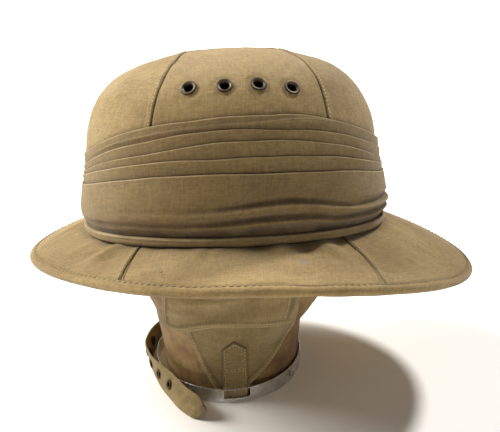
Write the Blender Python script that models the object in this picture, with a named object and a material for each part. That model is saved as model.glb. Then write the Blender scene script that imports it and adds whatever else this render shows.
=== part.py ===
"""A cloth-covered pith helmet standing on a leather neck sleeve.

Metres, +Z up. The origin is on the floor, under the middle of the brim. The helmet's front points
along -X, its back along +X and its left side along -Y. The helmet's own pieces are modelled level
and hang from one empty, which leans them all by the same small angle. Angles round the helmet are
measured from straight back, positive towards its right side.
"""

import math

import bmesh
import bpy
import numpy as np
from mathutils import Matrix, Vector

# Where the helmet stands and how it leans
HEAD_X = -0.0116            # middle of the head opening, from the origin
PIVOT_Z = 0.118             # height of the point the helmet leans about
LEAN = math.radians(4.0)    # left side up

# Layers of the helmet
CLOTH = 0.0012
LAYER_GAP = 0.0006
SEAM_GAP = 0.0003
PITH = 0.0070
WIDTH_RATIO = 0.82          # half width of the crown to its half length

# Crown outline at each height: how far it reaches to the front and to the back,
# and where the front and back seams cross, in degrees from straight back
CROWN_COLUMNS = ("height", "front", "back", "front_seam", "back_seam")
CROWN_ROWS = (
    (0.1000, 0.1070, 0.1066, 121.0, 52.7),
    (0.1250, 0.1070, 0.1066, 121.0, 52.7),
    (0.1500, 0.1070, 0.1065, 121.0, 52.7),
    (0.1740, 0.1064, 0.1050, 121.0, 52.7),
    (0.1900, 0.1046, 0.1026, 121.0, 52.7),
    (0.2040, 0.0998, 0.0977, 121.2, 52.0),
    (0.2160, 0.0924, 0.0903, 121.8, 49.8),
    (0.2260, 0.0812, 0.0802, 123.6, 46.0),
    (0.2335, 0.0654, 0.0674, 128.0, 40.5),
    (0.2390, 0.0470, 0.0500, 138.5, 29.0),
    (0.2424, 0.0310, 0.0350, 163.0, 10.0),
    (0.2437, 0.0170, 0.0190, 180.0, 0.0),
    (0.2441, 0.0000, 0.0000, 180.0, 0.0),
)
CROWN_TOP = 0.2441
CROWN_LEVELS = (0.1700, 0.1920, 0.2060, 0.2170, 0.2260, 0.2330, 0.2385, 0.2420)
INNER_LEVELS = (0.1600, 0.1960, 0.2190, 0.2330)
TIP_LEVEL = 0.2434          # where the front and back panels end

# Brim
BRIM_FRONT = 0.1541
BRIM_BACK = 0.1773
BRIM_SIDE = 0.1382
FRONT_TAPER = 0.24          # how much the front half narrows towards its tip
BRIM_EDGE_SIDE_Z = 0.1064   # underside of the edge
BRIM_EDGE_FRONT_Z = 0.0953
BRIM_EDGE_BACK_Z = 0.0759
FRONT_DIP_POWER = 1.85      # how late the edge dips from the side to the front
BACK_DIP_POWER = 1.65
EDGE_THICK = 0.0068
JOIN_Z = 0.1184             # where the brim meets the crown, front and back
JOIN_SIDE_RISE = 0.0066
BRIM_BULGE = 0.0008
BRIM_COVER = 0.0010
BRIM_DEPTH = 0.0090         # thickness of the brim at the crown
BODY_SHARES = (0.0, 0.45)   # shares of the way to the edge at which the body has corners
COVER_SHARES = (0.0, 0.35, 0.7)
BRIM_FRONT_SEAM = (125.2, 120.5)   # angle at the crown and at the edge
BRIM_BACK_SEAM = (50.0, 57.5)

# Binding on the brim's edge, in half thicknesses of the edge: distance in, height above the middle
BINDING_WIDTH = 0.0062
BINDING_OUTSIDE = ((0.75, 1.0), (0.1, 0.5), (0.1, -0.5), (0.75, -1.0))
BINDING_INSIDE = ((1.0, -1.0), (0.2, 0.0), (1.0, 1.0))

# Pagri: height of each turn's top edge at the front, side and back, and how far the cloth
# stands off the crown just above that edge and just below it
PAGRI_COLUMNS = ("front", "side", "back", "above", "below")
PAGRI_LINES = (
    (0.1700, 0.2066, 0.1775, 0.0008, 0.0016),
    (0.1635, 0.1976, 0.1705, 0.0013, 0.0023),
    (0.1605, 0.1907, 0.1630, 0.0019, 0.0029),
    (0.1575, 0.1807, 0.1600, 0.0025, 0.0035),
    (0.1525, 0.1703, 0.1545, 0.0030, 0.0042),
)
PAGRI_GAP = 0.0008
PAGRI_CLIMB = 0.6           # how early the lines climb from their ends
PLEAT_STEP = 0.0002         # half the height of the step from one turn to the next
PLEAT_BACK_SHARES = (0.0, 0.35, 0.7)
WRAP_OUTLINE = (            # share of the height from the roll to the pleats, stand-off
    (0.00, 0.0048),
    (0.07, 0.0066),
    (0.19, 0.0076),
    (0.22, 0.0068),
    (0.48, 0.0071),
    (0.52, 0.0060),
    (0.76, 0.0052),
)
ROLL_SIDES = 6
ROLL_RADIAL = 0.0027
ROLL_VERTICAL = 0.0029
ROLL_OUT = 0.0036

# Ventilation eyelets: angle from the back and height, mirrored to the other side
VENTS = ((108.7, 0.2225), (93.2, 0.2234), (78.5, 0.2236), (64.0, 0.2205))
VENT_HOLE = 0.0042
VENT_BAR = 0.040            # length of the bar that cuts a hole
VENT_SECTION = (            # radius, height above the cloth
    (0.0054, 0.00035),
    (0.0047, 0.00115),
    (0.0031, 0.00055),
    (0.0031, -0.0050),
    (0.0038, -0.0050),
    (0.0038, 0.00035),
)

# Neck sleeve
SLEEVE_COLUMNS = ("height", "front", "back", "half_width")
SLEEVE_ROWS = (
    (0.0000, -0.0696, 0.0343, 0.0598),
    (0.0120, -0.0708, 0.0347, 0.0600),
    (0.0270, -0.0730, 0.0360, 0.0612),
    (0.0410, -0.0752, 0.0378, 0.0626),
    (0.0480, -0.0765, 0.0420, 0.0639),
    (0.0560, -0.0780, 0.0492, 0.0658),
    (0.0720, -0.0850, 0.0600, 0.0692),
    (0.1000, -0.1010, 0.0780, 0.0750),
    (0.1180, -0.1091, 0.0855, 0.0781),
    (0.1300, -0.1092, 0.0856, 0.0782),
)
SLEEVE_INNER_LEVELS = (0.1300, 0.1000, 0.0720, 0.0560, 0.0410, 0.0000)
SLEEVE_WALL = 0.0030
LEAN_FROM = 0.060           # the sleeve takes up the helmet's lean between these heights
LEAN_TO = 0.112

# Side flaps
FLAP = 0.0014
FLAP_TOP = 0.1060
UPPER_FLAP_OFF = 0.0026
UPPER_FLAP_ROWS = 3
UPPER_FLAP_COLUMNS = ("low_x", "low_height", "top_x")
UPPER_FLAP_SKIP = 4         # takes every fourth point of the smoothed edge
UPPER_FLAP_EDGE = (
    (-0.0638, 0.0560, -0.0620),
    (-0.0600, 0.0522, -0.0560),
    (-0.0510, 0.0545, -0.0460),
    (-0.0385, 0.0605, -0.0340),
    (-0.0270, 0.0638, -0.0220),
    (-0.0110, 0.0640, -0.0060),
    (0.0090, 0.0610, 0.0150),
    (0.0225, 0.0592, 0.0345),
)
LOWER_FLAP_OFF = 0.0007
LOWER_FLAP_COLUMNS = 8
LOWER_FLAP_ROWS = (         # height, front edge, back edge
    (0.0740, -0.0520, 0.0280),
    (0.0545, -0.0490, 0.0270),
    (0.0410, -0.0442, 0.0178),
    (0.0290, -0.0400, 0.0128),
    (0.0225, -0.0374, 0.0036),
    (0.0130, -0.0330, -0.0072),
    (0.0040, -0.0275, -0.0110),
)
TAB_MIDDLE = -0.0165
TAB_WIDTH = 0.0168
TAB_ROWS = (                # height, share of the width, stand-off from the sleeve
    (0.0015, 1.00, 0.0031),
    (0.0120, 1.00, 0.0031),
    (0.0280, 1.00, 0.0028),
    (0.0430, 1.00, 0.0027),
    (0.0500, 0.04, 0.0027),
)

# Metal band round the foot
BAND_X = -0.0206
BAND_LENGTH = 0.0575        # half length
BAND_WIDTH = 0.0665         # half width
BAND_HEIGHT = 0.0110
BAND_THICK = 0.0010
WINDOW_X = -0.0156
WINDOW_LENGTH = 0.0190
WINDOW_HEIGHT = 0.0070
WINDOW_Z = 0.0070
RIVETS = (118.0, 36.0)      # angle from the back, mirrored to the other side
RIVET_SIDES = 8
RIVET_RADIUS = 0.0023
RIVET_SECTION = ((0.70, 0.0009), (1.00, 0.0000))    # share of the radius, height
RIVET_TOP = 0.0011

# Strap: the fixed end follows the band at the first angles, then the foot runs on through the route
STRAP_ON_BAND = (102.0, 112.0, 122.0, 132.0)
STRAP_ROUTE = (
    (-0.0700, 0.0400),
    (-0.0776, 0.0275),
    (-0.0818, 0.0130),
    (-0.0826, -0.0020),
    (-0.0806, -0.0160),
    (-0.0757, -0.0335),
    (-0.0674, -0.0530),
    (-0.0590, -0.0690),
    (-0.0505, -0.0805),
    (-0.0430, -0.0872),
    (-0.0387, -0.0891),
)
STRAP_HEIGHT = 0.0172
STRAP_THICK = 0.0018
STRAP_TWIST_COLUMNS = ("distance", "outwards")     # degrees that its top edge leans outwards
STRAP_TWIST_ROWS = (
    (0.000, 0.0),
    (0.030, 0.0),
    (0.060, 12.0),
    (0.100, 12.0),
    (0.127, -6.0),
    (0.150, -20.0),
    (0.200, -20.0),
)
STRAP_STEP = 0.008
STRAP_TIP = 0.010          # length of the rounded end
STRAP_BLUNT = 0.12          # share of the height left at the very tip
STRAP_EYELETS = (0.0750, 0.0925, 0.1100, 0.1275, 0.1455)   # distance along the strap
EYELET_HOLE = 0.0025
EYELET_BAR = 0.006
EYELET_SECTION = (          # radius, distance from the middle of the strap
    (0.0035, -0.0015),
    (0.0018, -0.0021),
    (0.0018, 0.0021),
    (0.0035, 0.0015),
    (0.0022, 0.0015),
    (0.0022, -0.0015),
)

# Facets
AROUND = 36
SLEEVE_AROUND = 32
SMALL_AROUND = 9
SIDE_PANEL_COLUMNS = 8
END_PANEL_COLUMNS = 12
CURVE_STEPS = 8             # points between two rows of a table
SHARP_ANGLE = math.radians(35)
WELD = 1e-6
NUDGE = 0.001               # small length used to read a direction


def table(rows, columns):
    """A smooth curve through a table's rows, as one array for each named column."""
    points = np.array(rows)
    ends = np.vstack([2 * points[0] - points[1], points, 2 * points[-1] - points[-2]])
    share = np.linspace(0.0, 1.0, CURVE_STEPS, endpoint=False)[:, None]
    pieces = []
    for a, b, c, d in zip(ends[:-3], ends[1:-2], ends[2:-1], ends[3:]):
        pieces.append(0.5 * (2 * b + (c - a) * share + (2 * a - 5 * b + 4 * c - d) * share**2
                             + (3 * b - a - 3 * c + d) * share**3))
    curve = np.vstack(pieces + [points[-1:]])
    return {name: curve[:, i] for i, name in enumerate(columns)}


CROWN = table(CROWN_ROWS, CROWN_COLUMNS)
SLEEVE = table(SLEEVE_ROWS, SLEEVE_COLUMNS)
PAGRI = [dict(zip(PAGRI_COLUMNS, row)) for row in PAGRI_LINES]


def smooth_share(value, low, high):
    """How far a value is from low to high, eased at both ends."""
    share = np.clip((value - low) / (high - low), 0, 1)
    return share * share * (3 - 2 * share)


def crown_at(height, angle, lift):
    """A point of the crown's cloth at a height and angle, moved out along the surface by lift."""
    rows = CROWN["height"]
    half = WIDTH_RATIO * 0.5 * (CROWN["front"] + CROWN["back"])
    slope_out = np.gradient(half)
    slope_up = np.gradient(rows)
    length = np.hypot(slope_out, slope_up)
    out = np.interp(height, rows, slope_up / length) * lift
    up = np.interp(height, rows, -slope_out / length) * lift
    front = np.interp(height, rows, CROWN["front"]) + out
    back = np.interp(height, rows, CROWN["back"]) + out
    share = 0.5 * (1 + np.cos(angle))
    reach = front * (1 - share) + back * share
    side = np.interp(height, rows, half) + out
    return np.stack(np.broadcast_arrays(reach * np.cos(angle), side * np.sin(angle), height + up), -1)


def join_height(angle):
    """Height at which the brim's cloth meets the crown."""
    return JOIN_Z + JOIN_SIDE_RISE * np.sin(angle) ** 2


def edge_frame(angle):
    """Middle of the brim's edge, the direction inwards along the brim, and the one up from it."""
    c, s = np.cos(angle), np.sin(angle)
    ahead = np.clip(-c, 0, None)
    behind = np.clip(c, 0, None)
    x = np.where(c > 0, BRIM_BACK, BRIM_FRONT) * c
    y = BRIM_SIDE * s * (1 - FRONT_TAPER * ahead**2)
    z = (BRIM_EDGE_SIDE_Z + (BRIM_EDGE_FRONT_Z - BRIM_EDGE_SIDE_Z) * ahead**FRONT_DIP_POWER
         + (BRIM_EDGE_BACK_Z - BRIM_EDGE_SIDE_Z) * behind**BACK_DIP_POWER + EDGE_THICK / 2)
    middle = np.stack([x, y, z], -1)
    inward = crown_at(join_height(angle), angle, 0.0) - middle
    inward /= np.linalg.norm(inward, axis=-1, keepdims=True)
    up = np.array([0.0, 0.0, 1.0]) - inward[..., 2:] * inward
    up /= np.linalg.norm(up, axis=-1, keepdims=True)
    return middle, inward, up


def brim_at(share, angle, depth):
    """A point of the brim's cloth, from the crown at 0 to the edge at 1, sunk square to it by depth."""
    middle, _, up = edge_frame(angle)
    edge = middle + up * EDGE_THICK / 2
    start = crown_at(join_height(angle), angle, LAYER_GAP)
    share = (np.asarray(share) + 0.0 * angle)[..., None]
    bulge = 4 * BRIM_BULGE * share * (1 - share)
    return start * (1 - share) + edge * share + up * (bulge - depth)


def brim_share(angle, inset):
    """Share of the way to the edge that leaves the given width of brim outside it."""
    width = np.linalg.norm(brim_at(1.0, angle, 0.0) - brim_at(0.0, angle, 0.0), axis=-1)
    return 1 - inset / width


def brim_on_facets(share, angle, depth):
    """Like brim_at, on the flats between the body's columns; no share means up to the binding."""
    step = 2 * math.pi / AROUND
    before = np.floor(angle / step + WELD) * step
    mix = ((angle - before) / step)[:, None]
    ends = []
    for turn in (before, before + step):
        reach = brim_share(turn, BINDING_WIDTH + SEAM_GAP) if share is None else share
        ends.append(brim_at(reach, turn, depth))
    return ends[0] * (1 - mix) + ends[1] * mix


def pagri_height(line, angle):
    """Height of one of the pagri's lines, which climbs from both ends towards the sides."""
    row = PAGRI[line]
    across = np.sin(angle) ** 2
    climb = across * (1 + PAGRI_CLIMB - PAGRI_CLIMB * across)
    end = np.where(np.cos(angle) > 0, row["back"], row["front"])
    return end + (row["side"] - end) * climb


def sleeve_span(height):
    """Front end, back end and half width of the sleeve at a height."""
    rows = SLEEVE["height"]
    return [np.interp(height, rows, SLEEVE[name]) for name in SLEEVE_COLUMNS[1:]]


def sleeve_at(height, angle, lift):
    """A point of the sleeve's leather at a height and angle, moved out by lift and then leaned."""
    front, back, side = sleeve_span(height)
    x = 0.5 * (front + back) + (0.5 * (back - front) + lift) * np.cos(angle)
    x, y, z = np.broadcast_arrays(x, (side + lift) * np.sin(angle), height + 0.0)
    turn = LEAN * smooth_share(z, LEAN_FROM, LEAN_TO)
    z = z - PIVOT_Z
    return np.stack([x, y * np.cos(turn) + z * np.sin(turn),
                     PIVOT_Z + z * np.cos(turn) - y * np.sin(turn)], -1)


def on_sleeve(x, height, side, lift):
    """A point on one side of the sleeve, at a distance along X instead of an angle."""
    front, back, _ = sleeve_span(height)
    turn = side * np.arccos((x - 0.5 * (front + back)) / (0.5 * (back - front)))
    return sleeve_at(height, turn, lift)


def round_angles(count):
    """Evenly spaced angles once round, from straight back."""
    return np.arange(count) * 2 * math.pi / count


def material(name, colour, roughness, metallic=0.0):
    """A plain finish of one colour."""
    finish = bpy.data.materials.get(name)
    if finish is None:
        finish = bpy.data.materials.new(name)
        finish.use_nodes = True
        shader = finish.node_tree.nodes["Principled BSDF"]
        shader.inputs["Base Color"].default_value = (*colour, 1.0)
        shader.inputs["Roughness"].default_value = roughness
        shader.inputs["Metallic"].default_value = metallic
        finish.diffuse_color = (*colour, 1.0)
    return finish


def khaki():
    """Tan cotton drill, the helmet's cloth."""
    return material("khaki_drill", (0.42, 0.29, 0.13), 0.9)


def pith():
    """Bare pith, the body under the cloth."""
    return material("pith", (0.45, 0.34, 0.19), 0.95)


def brown_leather():
    """Leather of the neck sleeve."""
    return material("brown_leather", (0.23, 0.11, 0.05), 0.6)


def eyelet_metal():
    """Darkened brass of the eyelets."""
    return material("darkened_brass", (0.10, 0.08, 0.05), 0.4, 0.8)


def aluminium():
    """Metal of the band and its rivets."""
    return material("aluminium", (0.72, 0.72, 0.72), 0.35, 1.0)


def webbing():
    """Woven strap cloth."""
    return material("webbing", (0.47, 0.34, 0.14), 0.85)


def link(name, mesh, parent=None):
    """Put a mesh into the scene as a named object."""
    piece = bpy.data.objects.new(name, mesh)
    bpy.context.scene.collection.objects.link(piece)
    piece.parent = parent
    return piece


def solid(name, points, faces, finish, parent=None):
    """A closed body from points and faces, with doubled corners joined and its faces turned out."""
    shape = bmesh.new()
    corners = [shape.verts.new(p) for p in points]
    for face in faces:
        shape.faces.new([corners[i] for i in face])
    bmesh.ops.remove_doubles(shape, verts=shape.verts, dist=WELD)
    bmesh.ops.recalc_face_normals(shape, faces=shape.faces)
    mesh = bpy.data.meshes.new(name)
    shape.to_mesh(mesh)
    shape.free()
    mesh.materials.append(finish)
    mesh.shade_smooth()
    mesh.set_sharp_from_angle(angle=SHARP_ANGLE)
    return link(name, mesh, parent)


def grid_faces(rows, columns, wrap_rows, wrap_columns, first=0):
    """Four-cornered faces of a grid of points, joined round where asked."""
    faces = []
    for r in range(rows if wrap_rows else rows - 1):
        for c in range(columns if wrap_columns else columns - 1):
            r2, c2 = (r + 1) % rows, (c + 1) % columns
            faces.append([first + r * columns + c, first + r * columns + c2,
                          first + r2 * columns + c2, first + r2 * columns + c])
    return faces


def ring_solid(name, rings, finish, parent=None):
    """A closed ring: each row is one loop round it, and the last row joins the first."""
    grid = np.array(rings)
    faces = grid_faces(grid.shape[0], grid.shape[1], True, True)
    return solid(name, grid.reshape(-1, 3), faces, finish, parent)


def capped_solid(name, rings, first_pole, last_pole, finish, parent=None):
    """A body of stacked loops, closed by a point at each end."""
    grid = np.array(rings)
    rows, columns = grid.shape[:2]
    points = np.vstack([grid.reshape(-1, 3), first_pole, last_pole])
    faces = grid_faces(rows, columns, False, True)
    last_row = (rows - 1) * columns
    for c in range(columns):
        c2 = (c + 1) % columns
        faces.append([rows * columns, c2, c])
        faces.append([rows * columns + 1, last_row + c, last_row + c2])
    return solid(name, points, faces, finish, parent)


def slab_solid(name, outer, inner, finish, parent=None):
    """A sheet with thickness: an outer and an inner grid of points, closed along the border."""
    outer, inner = np.array(outer), np.array(inner)
    rows, columns = outer.shape[:2]
    count = rows * columns
    faces = grid_faces(rows, columns, False, False)
    faces += [face[::-1] for face in grid_faces(rows, columns, False, False, count)]
    border = list(range(columns))
    border += [r * columns + columns - 1 for r in range(1, rows)]
    border += [(rows - 1) * columns + c for c in range(columns - 2, -1, -1)]
    border += [r * columns for r in range(rows - 2, 0, -1)]
    for a, b in zip(border, border[1:] + border[:1]):
        faces.append([b, a, a + count, b + count])
    points = np.vstack([outer.reshape(-1, 3), inner.reshape(-1, 3)])
    return solid(name, points, faces, finish, parent)


def loops(section, sides, frame):
    """Round loops from a section of radius and height, about the axis of a placing frame."""
    angles = round_angles(sides)
    rings = []
    for radius, height in section:
        loop = np.stack([radius * np.cos(angles), radius * np.sin(angles), 0 * angles + height], -1)
        rings.append([frame @ Vector(p) for p in loop])
    return rings


def frame_on(point, axis):
    """A placing frame at a point, with its own +Z along the axis."""
    turn = Vector(axis).to_track_quat("Z", "Y").to_matrix().to_4x4()
    return Matrix.Translation(Vector(point)) @ turn


def cutter(name, shape, parent=None):
    """A hidden shape that cuts others."""
    mesh = bpy.data.meshes.new(name)
    shape.to_mesh(mesh)
    shape.free()
    piece = link(name, mesh, parent)
    piece.hide_render = True
    piece.display_type = "WIRE"
    return piece


def drill(name, frames, radius, length, parent=None):
    """Round bars that cut holes, one at each frame."""
    shape = bmesh.new()
    for frame in frames:
        bmesh.ops.create_cone(shape, cap_ends=True, segments=SMALL_AROUND, radius1=radius,
                              radius2=radius, depth=length, matrix=frame)
    return cutter(name, shape, parent)


def cut(piece, tool):
    """Take a cutter's shape out of a piece."""
    step = piece.modifiers.new("cut", "BOOLEAN")
    step.operation = "DIFFERENCE"
    step.solver = "EXACT"
    step.object = tool


def pith_body(helmet):
    """The moulded pith: crown, brim and the hollow for the head, as one dome with a rim."""
    angles = round_angles(AROUND)
    outside = -CLOTH - LAYER_GAP
    inside = outside - PITH
    under_cover = BRIM_COVER + LAYER_GAP
    rings = [crown_at(z, angles, outside) for z in reversed(CROWN_LEVELS)]
    rings.append(crown_at(join_height(angles) - under_cover, angles, outside))
    rings += [brim_at(share, angles, under_cover) for share in BODY_SHARES]
    middle, inward, up = edge_frame(angles)
    inset = 2 * BRIM_COVER
    half = EDGE_THICK / 2 - BRIM_COVER - SEAM_GAP
    behind_binding = BINDING_WIDTH + 2 * SEAM_GAP
    rings.append(middle + inward * (inset + half) + up * half)
    rings.append(middle + inward * inset)
    rings.append(middle + inward * (inset + half) - up * half)
    rings.append(middle + inward * behind_binding - up * half)
    rings.append(middle + inward * behind_binding - up * EDGE_THICK / 2)
    for share in reversed(BODY_SHARES):
        rings.append(brim_at(share, angles, BRIM_DEPTH * (1 - share) + EDGE_THICK * share))
    rings.append(crown_at(join_height(angles) - BRIM_DEPTH, angles, inside))
    rings += [crown_at(z, angles, inside) for z in INNER_LEVELS]
    outer_top = (0.0, 0.0, CROWN_TOP + outside)
    inner_top = (0.0, 0.0, CROWN_TOP + inside)
    return capped_solid("pith_body", rings, outer_top, inner_top, pith(), helmet)


def panel_span(which, height):
    """The two angles between which a crown panel lies at a height, in radians."""
    rows = CROWN["height"]
    front = math.radians(np.interp(height, rows, CROWN["front_seam"]))
    back = math.radians(np.interp(height, rows, CROWN["back_seam"]))
    spans = {"front": (front, 2 * math.pi - front), "back": (-back, back),
             "left": (-front, -back), "right": (back, front)}
    return spans[which]


def crown_panel(which, columns, helmet):
    """One cloth panel of the crown, from the brim to its tip, between two seams."""
    outer, inner = [], []
    for level in (JOIN_Z, *CROWN_LEVELS, TIP_LEVEL):
        low, high = panel_span(which, level)
        middle = 0.5 * (low + high)
        gap = SEAM_GAP / np.linalg.norm(crown_at(level, middle, 0.0)[:2])
        turn = np.linspace(low + gap, high - gap, columns + 1)
        if level == TIP_LEVEL and which in ("front", "back"):
            turn = np.full(columns + 1, middle)
        height = join_height(turn) + SEAM_GAP if level == JOIN_Z else level
        outer.append(crown_at(height, turn, 0.0))
        inner.append(crown_at(height, turn, -CLOTH))
    if which in ("left", "right"):
        side = 1 if which == "right" else -1
        tip = np.array([0.0, side * 3 * SEAM_GAP, CROWN_TOP])
        outer.append(np.tile(tip, (columns + 1, 1)))
        inner.append(np.tile(tip - [0, 0, CLOTH], (columns + 1, 1)))
    return slab_solid(f"crown_panel_{which}", outer, inner, khaki(), helmet)


def brim_cover(which, low_seam, high_seam, helmet):
    """One piece of the cloth on top of the brim, between two seams, on the body's own columns."""
    columns = np.arange(-AROUND, 2 * AROUND) * 360 / AROUND
    inside = columns[(columns > min(low_seam)) & (columns < max(high_seam))]
    gap = math.degrees(SEAM_GAP / BRIM_FRONT)
    outer, inner = [], []
    for share in (*COVER_SHARES, None):
        level = 1.0 if share is None else share
        low = low_seam[0] * (1 - level) + low_seam[1] * level + gap
        high = high_seam[0] * (1 - level) + high_seam[1] * level - gap
        turn = np.radians(np.clip([low, *inside, high], low, high))
        outer.append(brim_on_facets(share, turn, 0.0))
        inner.append(brim_on_facets(share, turn, BRIM_COVER))
    return slab_solid(f"brim_cover_{which}", outer, inner, khaki(), helmet)


def brim_binding(helmet):
    """The cloth binding, a ring of C section that wraps the brim's edge."""
    middle, inward, up = edge_frame(round_angles(AROUND))
    half = EDGE_THICK / 2
    section = [(BINDING_WIDTH, half)]
    section += [(depth * half, height * half) for depth, height in BINDING_OUTSIDE]
    section += [(BINDING_WIDTH, -half), (BINDING_WIDTH, BRIM_COVER - half)]
    section += [(max(depth * half, BRIM_COVER + depth * half * (height == 0)), height * (half - BRIM_COVER))
                for depth, height in BINDING_INSIDE]
    section += [(BINDING_WIDTH, half - BRIM_COVER)]
    rings = [middle + inward * depth + up * height for depth, height in section]
    return ring_solid("brim_binding", rings, khaki(), helmet)


def pagri_pleats(helmet):
    """Four flat pleats, each lapping over the one above it, down to the wrap's top edge."""
    angles = round_angles(AROUND)
    rings = []
    for line, row in enumerate(PAGRI[:-1]):
        height = pagri_height(line, angles)
        rings.append(crown_at(height + PLEAT_STEP, angles, row["above"]))
        rings.append(crown_at(height - PLEAT_STEP, angles, row["below"]))
    top = pagri_height(0, angles)
    foot = pagri_height(len(PAGRI) - 1, angles) + PLEAT_STEP
    rings.append(crown_at(foot, angles, PAGRI[-1]["above"]))
    for share in PLEAT_BACK_SHARES:
        rings.append(crown_at(foot * (1 - share) + top * share, angles, PAGRI_GAP))
    return ring_solid("pagri_pleats", rings, khaki(), helmet)


def pagri_wrap(helmet):
    """The wide soft turn between the pleats and the roll."""
    angles = round_angles(AROUND)
    low = join_height(angles) + 2 * ROLL_VERTICAL + SEAM_GAP
    high = pagri_height(len(PAGRI) - 1, angles) - PLEAT_STEP
    rings = [crown_at(low + (high - low) * share, angles, off) for share, off in WRAP_OUTLINE]
    rings.append(crown_at(high, angles, PAGRI[-1]["below"]))
    rings.append(crown_at(high, angles, PAGRI_GAP))
    rings.append(crown_at(low, angles, PAGRI_GAP))
    return ring_solid("pagri_wrap", rings, khaki(), helmet)


def pagri_roll(helmet):
    """The thin rolled turn that lies in the corner between crown and brim."""
    angles = round_angles(AROUND)
    height = join_height(angles) + ROLL_VERTICAL
    rings = []
    for turn in round_angles(ROLL_SIDES):
        rings.append(crown_at(height + ROLL_VERTICAL * math.sin(turn), angles,
                              ROLL_OUT + ROLL_RADIAL * math.cos(turn)))
    return ring_solid("pagri_roll", rings, khaki(), helmet)


def vents(helmet, pierced):
    """Metal eyelets in real holes through the cloth and the pith."""
    frames = []
    for side in (-1, 1):
        for angle, height in VENTS:
            turn = side * math.radians(angle)
            point = crown_at(height, turn, 0.0)
            frames.append(frame_on(point, crown_at(height, turn, NUDGE) - point))
    tool = drill("vent_cutter", frames, VENT_HOLE, VENT_BAR, helmet)
    for piece in pierced:
        cut(piece, tool)
    for number, frame in enumerate(frames, 1):
        ring_solid(f"vent_eyelet_{number}", loops(VENT_SECTION, SMALL_AROUND, frame), eyelet_metal(), helmet)


def neck_sleeve():
    """The leather sleeve: an open tube that widens upwards into the crown."""
    angles = round_angles(SLEEVE_AROUND)
    rings = [sleeve_at(row[0], angles, 0.0) for row in SLEEVE_ROWS]
    rings += [sleeve_at(z, angles, -SLEEVE_WALL) for z in SLEEVE_INNER_LEVELS]
    return ring_solid("neck_sleeve", rings, brown_leather())


def side_flap_upper(name, side):
    """The upper flap: hangs from under the brim, with a curved lower edge."""
    edge = table(UPPER_FLAP_EDGE, UPPER_FLAP_COLUMNS)
    edge = {column: line[::UPPER_FLAP_SKIP] for column, line in edge.items()}
    outer, inner = [], []
    for share in np.linspace(0, 1, UPPER_FLAP_ROWS + 1):
        x = edge["low_x"] * share + edge["top_x"] * (1 - share)
        height = edge["low_height"] * share + FLAP_TOP * (1 - share)
        outer.append(on_sleeve(x, height, side, UPPER_FLAP_OFF + FLAP))
        inner.append(on_sleeve(x, height, side, UPPER_FLAP_OFF))
    return slab_solid(name, outer, inner, khaki())


def side_flap_lower(name, side):
    """The lower flap: tapers to a blunt point behind the tab."""
    outer, inner = [], []
    for height, front, back in LOWER_FLAP_ROWS:
        x = np.linspace(front, back, LOWER_FLAP_COLUMNS + 1)
        outer.append(on_sleeve(x, height, side, LOWER_FLAP_OFF + FLAP))
        inner.append(on_sleeve(x, height, side, LOWER_FLAP_OFF))
    return slab_solid(name, outer, inner, khaki())


def flap_tab(name, side):
    """The pointed tab, which goes down behind the band."""
    across = np.array([-0.5, 0.0, 0.5])
    outer, inner = [], []
    for height, width, off in TAB_ROWS:
        x = TAB_MIDDLE + across * TAB_WIDTH * width
        outer.append(on_sleeve(x, height, side, off + FLAP))
        inner.append(on_sleeve(x, height, side, off))
    return slab_solid(name, outer, inner, khaki())


def band_at(angle, height, lift):
    """A point of the metal band's outer face, moved out by lift."""
    return np.stack(np.broadcast_arrays(BAND_X + (BAND_LENGTH + lift) * np.cos(angle),
                                        (BAND_WIDTH + lift) * np.sin(angle), height), -1)


def neck_band():
    """The metal band: a flat strip on edge, with a window on each side for the tab."""
    angles = round_angles(SLEEVE_AROUND) + math.pi / SLEEVE_AROUND
    rings = [band_at(angles, 0.0, 0.0), band_at(angles, BAND_HEIGHT, 0.0),
             band_at(angles, BAND_HEIGHT, -BAND_THICK), band_at(angles, 0.0, -BAND_THICK)]
    band = ring_solid("neck_band", rings, aluminium())
    window = Matrix.Translation((WINDOW_X, 0.0, WINDOW_Z))
    window @= Matrix.Diagonal((WINDOW_LENGTH, 3 * BAND_WIDTH, WINDOW_HEIGHT, 1.0))
    shape = bmesh.new()
    bmesh.ops.create_cube(shape, size=1.0, matrix=window)
    cut(band, cutter("window_cutter", shape))
    return band


def band_rivets():
    """Round-headed rivets on the outside of the band; one also holds the strap's fixed end."""
    spots = [(side, angle) for side in (-1, 1) for angle in RIVETS]
    for number, (side, angle) in enumerate(spots, 1):
        turn = side * math.radians(angle)
        through_strap = min(STRAP_ON_BAND) < side * angle < max(STRAP_ON_BAND)
        lift = LAYER_GAP + STRAP_THICK + SEAM_GAP if through_strap else SEAM_GAP
        point = band_at(turn, BAND_HEIGHT / 2, lift)
        frame = frame_on(point, band_at(turn, BAND_HEIGHT / 2, lift + NUDGE) - point)
        section = [(share * RIVET_RADIUS, height) for share, height in RIVET_SECTION]
        capped_solid(f"band_rivet_{number}", loops(section, RIVET_SIDES, frame),
                     frame @ Vector((0, 0, RIVET_TOP)), frame @ Vector((0, 0, 0)), aluminium())


def strap_line():
    """The strap's foot as closely spaced points, with the distance along it at each one."""
    start = band_at(np.radians(STRAP_ON_BAND), 0.0, LAYER_GAP + STRAP_THICK / 2)
    curve = table([*start[:, :2], *STRAP_ROUTE], ("x", "y"))
    route = np.stack([curve["x"], curve["y"]], -1)
    along = np.concatenate([[0], np.cumsum(np.linalg.norm(np.diff(route, axis=0), axis=1))])
    return along, route


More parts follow.
